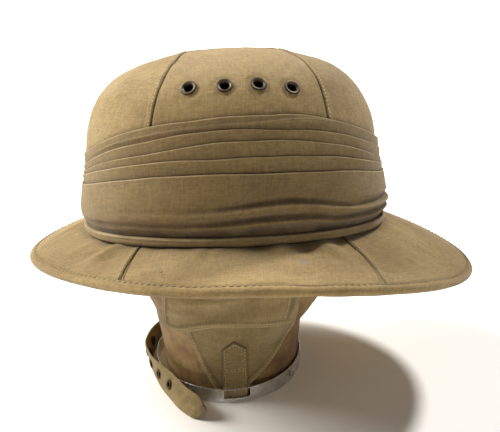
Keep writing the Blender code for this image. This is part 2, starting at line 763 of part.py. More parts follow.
def strap_frame(distance):
    """Foot of the strap at a distance along it, the way it faces, and the way up its width."""
    along, route = strap_line()
    foot, ahead, behind = (np.array([np.interp(distance + shift, along, route[:, i]) for i in (0, 1)])
                           for shift in (0.0, NUDGE, -NUDGE))
    run = (ahead - behind) / np.linalg.norm(ahead - behind)
    inwards = np.array([-run[1], run[0], 0.0])
    twist = table(STRAP_TWIST_ROWS, STRAP_TWIST_COLUMNS)
    lean = math.radians(np.interp(distance, twist["distance"], twist["outwards"]))
    up = np.array([0.0, 0.0, math.cos(lean)]) - inwards * math.sin(lean)
    face = inwards * math.cos(lean) + np.array([0.0, 0.0, math.sin(lean)])
    lift = STRAP_THICK / 2 * abs(math.sin(lean))
    return np.array([foot[0], foot[1], lift]), face, up


def strap_share(left):
    """Share of the strap's height at a distance from its rounded tip."""
    back = 1 - min(left / STRAP_TIP, 1.0)
    return min(1.0, math.sqrt(1 - back**2) + STRAP_BLUNT)


def neck_strap():
    """The strap, on edge: it twists out and then in once it has left the band, and has a rounded end."""
    length = strap_line()[0][-1]
    outer, inner = [], []
    for distance in np.linspace(0, length, round(length / STRAP_STEP) + 1):
        foot, face, up = strap_frame(distance)
        middle = foot + up * STRAP_HEIGHT / 2
        half = up * STRAP_HEIGHT / 2 * strap_share(length - distance)
        edge_to_edge = np.array([middle - half, middle + half])
        outer.append(edge_to_edge + face * STRAP_THICK / 2)
        inner.append(edge_to_edge - face * STRAP_THICK / 2)
    strap = slab_solid("neck_strap", outer, inner, webbing())
    frames = []
    for distance in STRAP_EYELETS:
        foot, face, up = strap_frame(distance)
        frames.append(frame_on(foot + up * STRAP_HEIGHT / 2, face))
    cut(strap, drill("strap_cutter", frames, EYELET_HOLE, EYELET_BAR))
    for number, frame in enumerate(frames, 1):
        ring_solid(f"strap_eyelet_{number}", loops(EYELET_SECTION, SMALL_AROUND, frame), eyelet_metal())


def main():
    """Build every piece: the helmet's own under the leaning empty, the stand's on the floor."""
    for old in list(bpy.data.objects):
        bpy.data.objects.remove(old, do_unlink=True)
    helmet = link("helmet_lean", None)
    lean = Matrix.Translation((HEAD_X, 0.0, PIVOT_Z)) @ Matrix.Rotation(-LEAN, 4, "X")
    helmet.matrix_world = lean @ Matrix.Translation((0.0, 0.0, -PIVOT_Z))
    body = pith_body(helmet)
    left = crown_panel("left", SIDE_PANEL_COLUMNS, helmet)
    right = crown_panel("right", SIDE_PANEL_COLUMNS, helmet)
    crown_panel("front", END_PANEL_COLUMNS, helmet)
    crown_panel("back", END_PANEL_COLUMNS, helmet)
    front, back = BRIM_FRONT_SEAM, BRIM_BACK_SEAM
    brim_cover("left", [-a for a in front], [-a for a in back], helmet)
    brim_cover("right", back, front, helmet)
    brim_cover("front", front, [360 - a for a in front], helmet)
    brim_cover("back", [-a for a in back], back, helmet)
    brim_binding(helmet)
    pagri_pleats(helmet)
    pagri_wrap(helmet)
    pagri_roll(helmet)
    vents(helmet, [body, left, right])
    neck_sleeve()
    for name, side in (("left", -1), ("right", 1)):
        side_flap_upper(f"side_flap_upper_{name}", side)
        side_flap_lower(f"side_flap_lower_{name}", side)
        flap_tab(f"flap_tab_{name}", side)
    neck_band()
    band_rivets()
    neck_strap()


main()
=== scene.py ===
"""Looks of a cloth-covered pith helmet standing on a leather neck sleeve.

Metres, +Z up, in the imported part's own frame: the front points along -X, and the left side, which
the camera sees, along -Y. The helmet's pieces are worked out level and then leaned together. Angles
round the helmet are measured from straight back, positive towards its right side. Each piece is a
grid of points worked out as whole arrays, closed into a body with a front, a back and edges.
"""

import math

import bmesh
import bpy
import numpy as np
from mathutils import Matrix, Vector


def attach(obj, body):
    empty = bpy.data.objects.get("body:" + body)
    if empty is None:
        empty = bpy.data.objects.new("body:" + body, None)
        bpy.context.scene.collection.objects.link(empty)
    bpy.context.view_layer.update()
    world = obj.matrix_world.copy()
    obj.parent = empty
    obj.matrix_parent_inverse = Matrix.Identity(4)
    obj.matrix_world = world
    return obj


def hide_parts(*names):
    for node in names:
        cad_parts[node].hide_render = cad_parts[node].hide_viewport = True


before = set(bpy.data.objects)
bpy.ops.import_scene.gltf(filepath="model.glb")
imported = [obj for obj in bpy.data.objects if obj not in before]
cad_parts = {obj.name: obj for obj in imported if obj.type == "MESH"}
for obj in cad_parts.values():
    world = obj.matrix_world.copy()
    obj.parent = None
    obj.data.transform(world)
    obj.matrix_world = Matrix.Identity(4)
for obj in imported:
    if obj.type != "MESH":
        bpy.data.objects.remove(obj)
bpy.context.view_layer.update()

# Where the helmet stands and how it leans
HEAD_X = -0.0116            # middle of the head opening, from the origin
PIVOT_Z = 0.118             # height of the point the helmet leans about
LEAN = math.radians(4.0)    # left side up

# Layers of the helmet
CLOTH = 0.0012
LAYER_GAP = 0.0006
SEAM_GAP = 0.0003
PITH = 0.0070
WIDTH_RATIO = 0.82          # half width of the crown to its half length

# Crown outline at each height: how far it reaches to the front and to the back,
# and where the front and back seams cross, in degrees from straight back
CROWN_COLUMNS = ("height", "front", "back", "front_seam", "back_seam")
CROWN_ROWS = (
    (0.1000, 0.1070, 0.1066, 121.0, 52.7),
    (0.1250, 0.1070, 0.1066, 121.0, 52.7),
    (0.1500, 0.1070, 0.1065, 121.0, 52.7),
    (0.1740, 0.1064, 0.1050, 121.0, 52.7),
    (0.1900, 0.1046, 0.1026, 121.0, 52.7),
    (0.2040, 0.0998, 0.0977, 121.2, 52.0),
    (0.2160, 0.0924, 0.0903, 121.8, 49.8),
    (0.2260, 0.0812, 0.0802, 123.6, 46.0),
    (0.2335, 0.0654, 0.0674, 128.0, 40.5),
    (0.2390, 0.0470, 0.0500, 138.5, 29.0),
    (0.2424, 0.0310, 0.0350, 163.0, 10.0),
    (0.2437, 0.0170, 0.0190, 180.0, 0.0),
    (0.2441, 0.0000, 0.0000, 180.0, 0.0),
)
TIP_LEVEL = 0.2437          # where the front and back panels end

# Crown seams
GROOVE_DEPTH = 0.0010
GROOVE_WIDTH = 0.0006
STRIP_RISE = 0.0004         # the turned edge under the front and back panels lifts a strip
STRIP_FROM = 0.0006
STRIP_TO = 0.0042
STRIP_LEVEL = 0.8           # share of the strip's width that stays level
CROWN_STITCH = {"side": 0.0019, "pitch": 0.0026, "length": 0.0018, "thick": 0.0009, "lift": 0.0003}
STITCH_END = 0.012          # how far short of the front and back panels' tips the stitches stop
SEAM_CELLS = (0.0, 0.0003, 0.0006, 0.0010, 0.0015, 0.0022)   # grid lines beside a seam

# Brim
BRIM_FRONT = 0.1541
BRIM_BACK = 0.1773
BRIM_SIDE = 0.1382
FRONT_TAPER = 0.24          # how much the front half narrows towards its tip
BRIM_EDGE_SIDE_Z = 0.1064   # underside of the edge
BRIM_EDGE_FRONT_Z = 0.0953
BRIM_EDGE_BACK_Z = 0.0759
FRONT_DIP_POWER = 1.85      # how late the edge dips from the side to the front
BACK_DIP_POWER = 1.65
EDGE_THICK = 0.0068
JOIN_Z = 0.1184             # where the brim meets the crown, front and back
JOIN_SIDE_RISE = 0.0066
BRIM_BULGE = 0.0008
BRIM_COVER = 0.0010
BRIM_DEPTH = 0.0090         # thickness of the brim at the crown
BRIM_FRONT_SEAM = (125.2, 118.3)   # angle at the crown and at the edge
BRIM_BACK_SEAM = (50.0, 60.0)
BINDING_WIDTH = 0.0062
BINDING_LIP = 0.0002        # how far the binding's turned edge stands over the brim's cloth
BINDING_TUCK = 0.0012       # how far the brim's cloth runs in under the binding
SINK_DEPTH = 0.0003         # how far the brim's cloth sinks under the binding
SINK_PLACE = (0.0020, 0.0005)       # from this far before the binding's edge to this far past it
LIP_PLACE = (0.0035, 0.0008)        # the lip rises between these distances from the binding's edge
ROLL_COVERS = 0.13          # share of the brim's width that the roll hides
BRIM_STITCH = {"side": 0.0050, "pitch": 0.0043, "length": 0.0031, "thick": 0.0007, "lift": 0.0}

# Soft forms of the brim's cloth: angle, half width in degrees, where along the brim, half length, rise
BRIM_FOLD_COLUMNS = ("angle", "spread", "share", "reach", "rise")
BRIM_FOLDS = (
    (-76.4, 3.2, 0.19, 0.14, 0.0029),
    (-62.0, 3.4, 0.19, 0.15, 0.0027),
    (-69.2, 2.6, 0.17, 0.14, -0.0008),
    (-54.0, 3.0, 0.17, 0.18, -0.0008),
    (-84.0, 3.2, 0.17, 0.14, -0.0008),
    (-102.0, 2.6, 0.18, 0.11, 0.0013),
    (-96.6, 2.2, 0.18, 0.11, 0.0013),
    (-134.0, 2.8, 0.40, 0.45, 0.0024),
    (-140.0, 2.2, 0.35, 0.30, -0.0010),
    (-148.0, 3.4, 0.30, 0.35, 0.0018),
    (-160.0, 4.0, 0.35, 0.30, -0.0010),
    (-20.0, 7.0, 0.15, 0.25, 0.0014),
    (14.0, 6.0, 0.12, 0.22, 0.0012),
    (62.0, 5.5, 0.16, 0.18, 0.0022),
    (78.0, 5.0, 0.16, 0.16, 0.0020),
    (106.0, 4.0, 0.14, 0.14, 0.0012),
    (146.0, 4.0, 0.30, 0.35, 0.0010),
)

# Pagri: height of each line at the front, side and back
PAGRI_COLUMNS = ("front", "side", "back")
PAGRI_LINES = (
    (0.1700, 0.2066, 0.1775),
    (0.1635, 0.1976, 0.1705),
    (0.1605, 0.1907, 0.1630),
    (0.1575, 0.1807, 0.1600),
    (0.1525, 0.1703, 0.1545),
)
PAGRI_GAP = 0.0008
PAGRI_CLIMB = 0.6           # how early the lines climb from their ends
PLEAT_START = 0.0016        # stand-off of the first fold's edge
PLEAT_BUILD = 0.0006        # each turn stands further out than the one above it
PLEAT_LAP = 0.0028          # how far the pleats run on under the wrap
FOLD_EDGE = (               # length below a fold's edge, stand-off from it, and painted shade in the crevice above the edge, or a painted highlight, partly rubbed wear, on the edge where below 0
    (0.00000, -0.00100, 0.5),
    (0.00000, -0.00050, 0.0),
    (0.00005, -0.00020, -0.6),
    (0.00020, -0.00004, -0.9),
    (0.00045, 0.00000, -0.35),
)
PLEAT_FACE = (              # share of the way down a turn, stand-off from its fold's edge, painted shade growing towards the crevice above the next fold's edge
    (0.12, 0.00000, 0.0),
    (0.18, -0.00002, 0.0),
    (0.35, -0.00012, 0.05),
    (0.70, -0.00026, 0.2),
    (0.90, -0.00034, 0.35),
    (1.00, -0.00038, 0.6),
)
PLEAT_WANDER = 0.0004
WANDER_AT_ENDS = 0.4        # share of the wander at the front and back
# painted shade on the pleats' rows hidden under the wrap
HIDDEN_SHADE = 0.5
PAGRI_SHIFT_COLUMNS = ("angle", "line_0", "line_1", "line_2", "line_3", "line_4")
PAGRI_SHIFTS = (            # how far the hand-laid lines lie above their even curves
    (-180, 0.0034, 0.0010, 0.0, 0.0008, 0.0),
    (-165, 0.0036, 0.0012, 0.0, 0.0010, 0.0),
    (-150, 0.0018, 0.0008, -0.0004, 0.0010, 0.0),
    (-137, 0.0, -0.0004, -0.0020, 0.0002, 0.0),
    (-122, -0.0018, -0.0024, -0.0036, -0.0007, 0.0),
    (-106, -0.0028, -0.0012, -0.0016, -0.0003, 0.0013),
    (-91, -0.0015, 0.0, 0.0, 0.0, 0.0006),
    (-76, -0.0006, 0.0, 0.0, 0.0, 0.0),
    (-50, 0.0, 0.0, 0.0, 0.0, 0.0),
    (120, 0.0, 0.0, 0.0, 0.0, 0.0),
    (180, 0.0034, 0.0010, 0.0, 0.0008, 0.0),
)
SOFT_RIDGE = {"angle": -88.0, "share": 0.64, "slope": -0.0132, "half": 0.10, "rise": 0.0008}
SOFT_RIDGE_FROM = (-158.0, -135.0)  # angles between which the first turn's soft ridge comes in
SOFT_RIDGE_TO = (-58.0, -48.0)      # and goes out
WRAP_TOP = 0.0044           # stand-off of the wrap's own fold edge
WRAP_OUTLINE = (            # share of the height from the roll to the wrap's top edge, stand-off
    (0.00, 0.0028),
    (0.05, 0.0031),
    (0.11, 0.0042),
    (0.18, 0.0058),
    (0.26, 0.0066),
    (0.42, 0.0066),
    (0.60, 0.0061),
    (0.80, 0.0052),
    (1.00, 0.0044),
)
FOLD_COLUMNS = ("angle", "height", "strength")
WRAP_FOLDS = (              # crests of the two soft folds on the left side; the right side mirrors them
    ((-180, 0.1390, 0.0), (-150, 0.1400, 0.0), (-118, 0.1436, 0.15), (-100, 0.1460, 0.5), (-84, 0.1492, 1.0),
     (-74, 0.1502, 1.0), (-65, 0.1484, 1.0), (-57, 0.1448, 0.8), (-48, 0.1414, 0.7), (-37, 0.1388, 0.9),
     (-21, 0.1366, 1.1), (0, 0.1345, 0.8)),
    ((-180, 0.1260, 0.0), (-148, 0.1296, 0.4), (-128, 0.1334, 0.5), (-113, 0.1352, 0.6), (-94, 0.1380, 0.9),
     (-80, 0.1400, 1.0), (-65, 0.1386, 0.9), (-55, 0.1348, 0.9), (-48, 0.1334, 1.0), (-37, 0.1320, 1.0),
     (-25, 0.1308, 1.0), (0, 0.1290, 0.7)),
)
FOLD_RISE = 0.0018
FOLD_ABOVE = 0.0014         # how fast a fold rises from the hollow above it
FOLD_BELOW = 0.0036         # and how slowly it falls below its crest
HOLLOW_DEPTH = 0.0018
HOLLOW_PLACE = -0.0031      # where the hollow lies, below the crest
HOLLOW_WIDTH = 0.0020
WRAP_LEAST = 0.0024         # the wrap's stand-off is nowhere less than this
# painted shade darkening the wrap towards its foot
WRAP_FOOT_SHADE = 0.12
WRAP_TURN = {"under": 0.0009, "over": 0.0005, "in": 0.0010}    # how its top edge turns in behind itself
# painted shade on the wrap's hidden back rows
WRAP_BACK_SHADE = 0.3
ROLL_RADIAL = 0.0027
ROLL_VERTICAL = 0.0029
ROLL_OUT = 0.0036
ROLL_ENDS = 0.72            # its size at the front and back, beside that at the sides
ROLL_CREASE = {"angle": -125.0, "spread": 22.0, "depth": 0.0007, "place": 0.25, "width": 0.22}
# painted shade on the roll's inner half against the crown
ROLL_BACK_SHADE = 0.8

# Darker parts of the cloth on the side turned from the lamps, partly painted shade and partly stain: middle
# and half width in degrees, strength
SHADE_AND_STAIN = {"pagri": (-75.0, 34.0, 0.20), "crown": (-48.0, 20.0, 0.16)}
CROWN_SHADE_TO = (0.205, 0.235)      # heights between which the crown's darker part fades out

# Ventilation eyelets: angle from the back and height, mirrored to the other side
VENTS = ((108.7, 0.2225), (93.2, 0.2234), (78.5, 0.2236), (64.0, 0.2205))
VENT_CUT = 0.0044           # cells of cloth nearer than this to an eyelet's axis are left out
VENT_DIMPLE = 0.0005
VENT_PROFILE = (            # radius, height above the cloth, share of dark tarnish
    (0.00530, 0.00010, 1.0),
    (0.00545, 0.00035, 1.0),
    (0.00530, 0.00065, 0.7),
    (0.00495, 0.00090, 0.2),
    (0.00450, 0.00100, 0.0),
    (0.00400, 0.00092, 0.0),
    (0.00350, 0.00062, 0.1),
    (0.00310, 0.00015, 0.3),
    (0.00290, -0.00060, 0.9),
    (0.00290, -0.00500, 1.0),
    (0.00370, -0.00500, 1.0),
    (0.00375, -0.00050, 1.0),
    (0.00400, 0.00005, 1.0),
)

# Neck sleeve
SLEEVE_COLUMNS = ("height", "front", "back", "half_width")
SLEEVE_ROWS = (
    (0.0000, -0.0696, 0.0343, 0.0598),
    (0.0120, -0.0708, 0.0347, 0.0600),
    (0.0270, -0.0730, 0.0360, 0.0612),
    (0.0410, -0.0752, 0.0378, 0.0626),
    (0.0480, -0.0765, 0.0420, 0.0639),
    (0.0560, -0.0780, 0.0492, 0.0658),
    (0.0720, -0.0850, 0.0600, 0.0692),
    (0.1000, -0.1010, 0.0780, 0.0750),
    (0.1180, -0.1091, 0.0855, 0.0781),
    (0.1300, -0.1092, 0.0856, 0.0782),
)
SLEEVE_WALL = 0.0030
SLEEVE_DENTS = (            # rise, length of the waves, share of the height in them, random seed
    (0.0006, 0.035, 0.5, 14),
    (0.00018, 0.009, 0.4, 15),
)
SLEEVE_SWELL = 0.0004       # the leather swells outwards no further than this
LEAN_FROM = 0.060           # the sleeve takes up the helmet's lean between these heights
LEAN_TO = 0.112

# Side flaps
FLAP = 0.0014
FLAP_TOP = 0.1060
UPPER_FLAP_OFF = 0.0026
UPPER_FLAP_COLUMNS = ("low_x", "low_height", "top_x")
UPPER_FLAP_EDGE = (
    (-0.0638, 0.0560, -0.0620),
    (-0.0600, 0.0522, -0.0560),
    (-0.0510, 0.0545, -0.0460),
    (-0.0385, 0.0605, -0.0340),
    (-0.0270, 0.0638, -0.0220),
    (-0.0110, 0.0640, -0.0060),
    (0.0090, 0.0610, 0.0150),
    (0.0225, 0.0592, 0.0345),
)
LOWER_FLAP_OFF = 0.0007
LOWER_FLAP_COLUMNS = ("height", "front", "back")
LOWER_FLAP_ROWS = (
    (0.0740, -0.0520, 0.0290),
    (0.0545, -0.0490, 0.0262),
    (0.0410, -0.0442, 0.0192),
    (0.0290, -0.0400, 0.0110),
    (0.0225, -0.0374, 0.0050),
    (0.0130, -0.0330, -0.0050),
    (0.0040, -0.0275, -0.0110),
)
FLAP_FOLDS = (              # X and height of the middle, half length, half height, rise
    (-0.050, 0.0700, 0.022, 0.0040, 0.0018),
    (-0.034, 0.0810, 0.020, 0.0036, 0.0024),
    (-0.026, 0.0725, 0.024, 0.0036, -0.0014),
    (-0.002, 0.0680, 0.022, 0.0045, 0.0014),
    (-0.020, 0.0450, 0.030, 0.0060, 0.0005),
)
FOLD_SHADING = 180.0           # how much painted highlight a metre of a fold's rise gives, and painted shade a hollow gets
HEM = 0.0042
HEM_RISE = 0.0004
PIPING = 0.0009             # radius of the piped edges
FLAP_STITCH = {"side": 0.0034, "pitch": 0.0026, "length": 0.0018, "thick": 0.0005, "lift": 0.0}
TAB_MIDDLE = -0.0165
TAB_WIDTH = 0.0168
TAB_OUTLINE = (             # height, share of the width, stand-off from the sleeve
    (0.0015, 1.00, 0.0031),
    (0.0120, 1.00, 0.0031),
    (0.0280, 1.00, 0.0028),
    (0.0430, 1.00, 0.0027),
    (0.0500, 0.04, 0.0027),
)
TAB_HEIGHTS = ((0.0015, 0.0430, 34), (0.0434, 0.0500, 10))     # from, to, grid lines
TAB_STITCH_IN = 0.0016
TAB_STITCH_HEIGHTS = (0.0020, 0.0424, 0.0424 + 0.0055, 0.0424, 0.0020)
TAB_WINDOW_LIGHT = {"soil_and_shade": 0.9, "heights": (0.0100, 0.0120)}         # painted light: the tab is made pale where it shows in the band's shaded window
TAB_CROSS_LINES = (0.0266, 0.0248)  # heights of the two stitch lines across the tab

# Metal band round the foot
BAND_X = -0.0206
BAND_LENGTH = 0.0575        # half length
BAND_WIDTH = 0.0665         # half width
BAND_HEIGHT = 0.0110
BAND_THICK = 0.0010
BAND_LINES = (0.0, 0.0010, 0.0018, 0.0024, 0.0030)     # heights of the grid lines under the windows
BAND_ROUNDING = 0.00022
WINDOW_X = -0.0156
WINDOW_LENGTH = 0.0190
WINDOW_HEIGHT = 0.0070
WINDOW_Z = 0.0070
WINDOW_RIM = 0.0005         # how far the metal round a window is raised
RIVETS = (118.0, 36.0)      # angle from the back, mirrored to the other side
RIVET_PROFILE = (           # radius, height, share of dark tarnish
    (0.0, 0.0, 1.0), (0.0014, 0.0, 1.0), (0.0021, 0.0001, 1.0), (0.0023, 0.00035, 0.9),
    (0.0022, 0.0007, 0.9), (0.0017, 0.0010, 0.8), (0.0009, 0.0011, 0.8), (0.0, 0.00112, 0.8),
)

# Strap: the fixed end follows the band at the first angles, then the foot runs on through the route
STRAP_ON_BAND = (102.0, 112.0, 122.0, 132.0)
STRAP_ROUTE = (
    (-0.0700, 0.0400),
    (-0.0776, 0.0275),
    (-0.0818, 0.0130),
    (-0.0826, -0.0020),
    (-0.0806, -0.0160),
    (-0.0757, -0.0335),
    (-0.0674, -0.0530),
    (-0.0590, -0.0690),
    (-0.0505, -0.0805),
    (-0.0430, -0.0872),
    (-0.0387, -0.0891),
)
STRAP_HEIGHT = 0.0172
STRAP_THICK = 0.0018
STRAP_TWIST_COLUMNS = ("distance", "outwards")     # degrees that its top edge leans outwards
STRAP_TWIST_ROWS = (
    (0.000, 0.0),
    (0.030, 0.0),
    (0.060, 12.0),
    (0.100, 12.0),
    (0.127, -6.0),
    (0.150, -20.0),
    (0.200, -20.0),
)
STRAP_TIP = 0.018           # length of the rounded end
STRAP_POINT = 0.7           # how pointed it is
STRAP_BLUNT = 0.10          # share of the height left at the very tip
STRAP_EYELETS = (0.0750, 0.0925, 0.1100, 0.1275, 0.1455)   # distance along the strap
STRAP_CUT = 0.0027
EYELET_FACE = (             # radius, height over the strap's middle, share of dark tarnish
    (0.0035, 0.0011, 0.9),
    (0.0035, 0.0014, 0.6),
    (0.0032, 0.0018, 0.4),
    (0.0027, 0.0019, 0.3),
    (0.0022, 0.0017, 0.5),
    (0.0019, 0.0012, 0.9),
)
EYELET_BARREL = (0.0018, 0.0022)   # radius of the barrel inside and outside

# Small unevenness of each piece: rise, length of the waves, random seed
SLACK = {
    "crown": ((0.00022, 0.030, 3), (0.00010, 0.009, 4)),
    "brim": ((0.00025, 0.028, 5), (0.00012, 0.008, 6)),
    "binding": ((0.00022, 0.030, 7),),
    "wrap": ((0.00030, 0.035, 9), (0.00008, 0.010, 10)),
    "pith": ((0.00030, 0.020, 13),),
    "flap": ((0.00015, 0.012, 16),),
    "tab": ((0.00010, 0.006, 17),),
    "band": ((0.00012, 0.030, 18),),
    "strap": ((0.00030, 0.020, 21),),
}

# Bells across a line on a piece: soil, painted shade or painted highlight, or rise at the line, where the
# line lies, half width
BELLS = {
    "crown groove": (-GROOVE_DEPTH, 0.0, GROOVE_WIDTH),
    "crown stitch dent": (-0.4 * STRIP_RISE, CROWN_STITCH["side"], 0.0007),
    "crown seam shade": (0.85, 0.0, 0.0006),
    "darker over the pagri": (0.45, 0.0, 0.0022),
    "eyelet dimple": (-VENT_DIMPLE, 0.0065, 0.0016),
    "vent eyelet shade": (0.2, 0.0055, 0.0010),
    "brim groove": (-0.7 * GROOVE_DEPTH, 0.0, GROOVE_WIDTH),
    "brim seam shade": (0.8, 0.0, 0.0006),
    "brim shade at the roll": (0.5, 0.004, 0.0045),
    "brim shade at the binding": (0.12, 0.0, 0.0012),
    "binding stitch dent": (-0.0003, BRIM_STITCH["side"], 0.0012),
    "binding edge shade": (0.2, BINDING_WIDTH, 0.0006),
    "wrap foot shade": (0.75, 0.0, 0.16),
    "wrap hollow": (HOLLOW_DEPTH, HOLLOW_PLACE, HOLLOW_WIDTH),
    "wrap hollow shade": (0.6, HOLLOW_PLACE, HOLLOW_WIDTH),
    "wrap crest highlight": (0.45, 0.0, 0.0011),
    "roll shade below": (0.7, -1.0, 0.35),
    "roll highlight on top": (0.5, 0.75, 0.25),
    "roll crease shade": (0.35, 0.25, 0.15),
    "sleeve foot": (-0.0009, 0.0, 0.0016),
    "flap stitch dent": (0.0002, FLAP_STITCH["side"], 0.0006),
    "flap hem shade": (0.45, HEM, 0.0009),
    "tab edge": (-0.0007, 0.0, 0.0005),
    "tab stitch dent": (0.0002, TAB_STITCH_IN, 0.0005),
    "tab edge shade": (0.9, 0.0, 0.0006),
    "tab stitch shade": (0.3, TAB_STITCH_IN, 0.0005),
    "window rim": (WINDOW_RIM, 0.0004, 0.0008),
    "window rim rub": (0.5, 0.0004, 0.0008),
    "strap eyelet grime": (0.5, 0.0040, 0.0009),
}

# Fineness of the grids
CELL = 0.0013
ROUND = 480                 # columns once round the crown
BRIM_ROUND = 760            # columns once round the brim
PITH_ROUND = 360            # columns once round the pith's brim
STAND_ROUND = 256           # columns once round the sleeve and the pith's crown
BAND_ROUND = 240            # columns once round the metal band
TALL = 96                   # rows up the sleeve and the pith's crown
WRAP_TALL = 72              # rows down the wrap's face
PLEAT_TALL = 18             # rows down a pleat's face
ROLL_AROUND = 24            # rows around the roll
UPPER_FLAP_GRID = (84, 44)  # columns and rows
LOWER_FLAP_GRID = (64, 64)  # rows and columns
TAB_ACROSS = 22
STRAP_ACROSS = 24
STRAP_CELL = 0.0008
BINDING_AROUND = 15         # rows round the binding's half round
BINDING_FLAT = 6            # rows across each of its flat sides
TURNED = 32                 # columns round an eyelet or rivet
TUBE_SIDES = 8
CURVE_STEPS = 24            # points between two rows of a table
LINE_STEPS = 60             # points between two corners of a stitch line
SEAM_STEPS = 500
SHARP_ANGLE = math.radians(40)
NUDGE = 0.001               # small length used to read a direction
WAVES = 9                   # plane waves in an uneven field
AXIS_ASIDE = (0.36, 0.48, 0.8)      # a direction that no axis has
PATH_ASIDE = (0.2, 0.35, 0.9)       # a direction that no piped edge runs in


# Shapes

def table(rows, columns):
    """A smooth curve through a table's rows, as one array for each named column (Catmull-Rom)."""
    points = np.array(rows, float)
    ends = np.vstack([2 * points[0] - points[1], points, 2 * points[-1] - points[-2]])
    share = np.linspace(0.0, 1.0, CURVE_STEPS, endpoint=False)[:, None]
    pieces = []
    for a, b, c, d in zip(ends[:-3], ends[1:-2], ends[2:-1], ends[3:]):
        pieces.append(0.5 * (2 * b + (c - a) * share + (2 * a - 5 * b + 4 * c - d) * share**2
                             + (3 * b - a - 3 * c + d) * share**3))
    curve = np.vstack(pieces + [points[-1:]])
    return {name: curve[:, i] for i, name in enumerate(columns)}


def crown_outline():
    """The crown's table with its half width, the length run up the outline, and its normal."""
    crown = table(CROWN_ROWS, CROWN_COLUMNS)
    crown["half"] = WIDTH_RATIO * 0.5 * (crown["front"] + crown["back"])
    out, up = np.gradient(crown["half"]), np.gradient(crown["height"])
    length = np.hypot(out, up)
    steps_up = np.hypot(np.diff(crown["half"]), np.diff(crown["height"]))
    crown["run"] = np.concatenate([[0.0], np.cumsum(steps_up)])
    crown["normal_out"] = up / length
    crown["normal_up"] = -out / length
    crown["normal_out"][-1], crown["normal_up"][-1] = 0.0, 1.0
    return crown


CROWN = crown_outline()
SLEEVE = table(SLEEVE_ROWS, SLEEVE_COLUMNS)
PAGRI = [dict(zip(PAGRI_COLUMNS, row)) for row in PAGRI_LINES]
PAGRI_SHIFT = table(PAGRI_SHIFTS, PAGRI_SHIFT_COLUMNS)


def signed_degrees(angle):
    """An angle in degrees, from -180 to 180."""
    return (np.degrees(angle) + 180) % 360 - 180


def smooth_share(value, low, high):
    """How far a value is from low to high, eased at both ends."""
    share = np.clip((value - low) / (high - low), 0, 1)
    return share * share * (3 - 2 * share)


def hump(value, middle, half):
    """A bell: 1 at the middle, falling with the square of the distance over the half width."""
    return np.exp(-((value - middle) / half) ** 2)


def uneven(points, size, seed):
    """A smooth uneven field, mostly within -1 to 1: the mean of plane waves near the given length."""
    chance = np.random.default_rng(seed)
    total = np.zeros(points.shape[:-1])
    for _ in range(WAVES):
        way = chance.normal(size=3)
        turns = points @ (way / np.linalg.norm(way)) / (size * chance.uniform(0.6, 1.7))
        total += np.sin(2 * math.pi * (turns + chance.uniform()))
    return total / math.sqrt(WAVES)


def slack(name, points):
    """The small unevenness of a piece at every point."""
    return sum(rise * uneven(points, size, seed) for rise, size, seed in SLACK[name])


def bell(name, value):
    """The soil, painted shade or highlight, or rise of a named bell at every value."""
    strength, middle, half = BELLS[name]
    return strength * hump(value, middle, half)


def crown_run(height):
    """Length run up the crown's outline at a height."""
    return np.interp(height, CROWN["height"], CROWN["run"])


def crown_on(run, angle, lift):
    """A point of the crown's cloth, a length of run up its outline, moved out along its normal by lift.

    The reach to the front and to the back at that run is mixed by the cosine of the angle, and the
    half width goes with its sine.
    """
    along = CROWN["run"]
    out = np.interp(run, along, CROWN["normal_out"]) * lift
    up = np.interp(run, along, CROWN["normal_up"]) * lift
    front = np.interp(run, along, CROWN["front"]) + out
    back = np.interp(run, along, CROWN["back"]) + out
    share = 0.5 * (1 + np.cos(angle))
    reach = front * (1 - share) + back * share
    side = np.interp(run, along, CROWN["half"]) + out
    height = np.interp(run, along, CROWN["height"]) + up
    return np.stack(np.broadcast_arrays(reach * np.cos(angle), side * np.sin(angle), height), -1)


def crown_at(height, angle, lift):
    """A point of the crown's cloth at a height and angle, moved out by lift."""
    return crown_on(crown_run(height), angle, lift)


def join_height(angle):
    """Height at which the brim's cloth meets the crown."""
    return JOIN_Z + JOIN_SIDE_RISE * np.sin(angle) ** 2


def edge_frame(angle):
    """Middle of the brim's edge, the direction inwards along the brim, and the one up from it."""
    c, s = np.cos(angle), np.sin(angle)
    ahead = np.clip(-c, 0, None)
    behind = np.clip(c, 0, None)
    x = np.where(c > 0, BRIM_BACK, BRIM_FRONT) * c
    y = BRIM_SIDE * s * (1 - FRONT_TAPER * ahead**2)
    z = (BRIM_EDGE_SIDE_Z + (BRIM_EDGE_FRONT_Z - BRIM_EDGE_SIDE_Z) * ahead**FRONT_DIP_POWER
         + (BRIM_EDGE_BACK_Z - BRIM_EDGE_SIDE_Z) * behind**BACK_DIP_POWER + EDGE_THICK / 2)
    middle = np.stack([x, y, z], -1)
    inward = unit(crown_at(join_height(angle), angle, 0.0) - middle)
    up = unit(np.array([0.0, 0.0, 1.0]) - inward[..., 2:] * inward)
    return middle, inward, up


def brim_at(share, angle, lift):
    """A point of the brim's cloth, from the crown at 0 to the edge at 1, raised square to it by lift."""
    share, angle = np.broadcast_arrays(np.asarray(share, float), angle)
    middle, _, up = edge_frame(angle)
    edge = middle + up * EDGE_THICK / 2
    start = crown_at(join_height(angle), angle, LAYER_GAP)
    share = share[..., None]
    rise = 4 * BRIM_BULGE * share * (1 - share) + np.asarray(lift)[..., None]
    return start * (1 - share) + edge * share + up * rise


def brim_width(angle):
    """Width of the brim's top from the crown to the edge."""
    return np.linalg.norm(brim_at(1.0, angle, 0.0) - brim_at(0.0, angle, 0.0), axis=-1)


def edge_point(angle, depth, height):
    """A point of the brim's edge, a depth in from its outermost line and a height from its middle."""
    middle, inward, up = edge_frame(angle)
    return middle + inward * np.asarray(depth)[..., None] + up * np.asarray(height)[..., None]


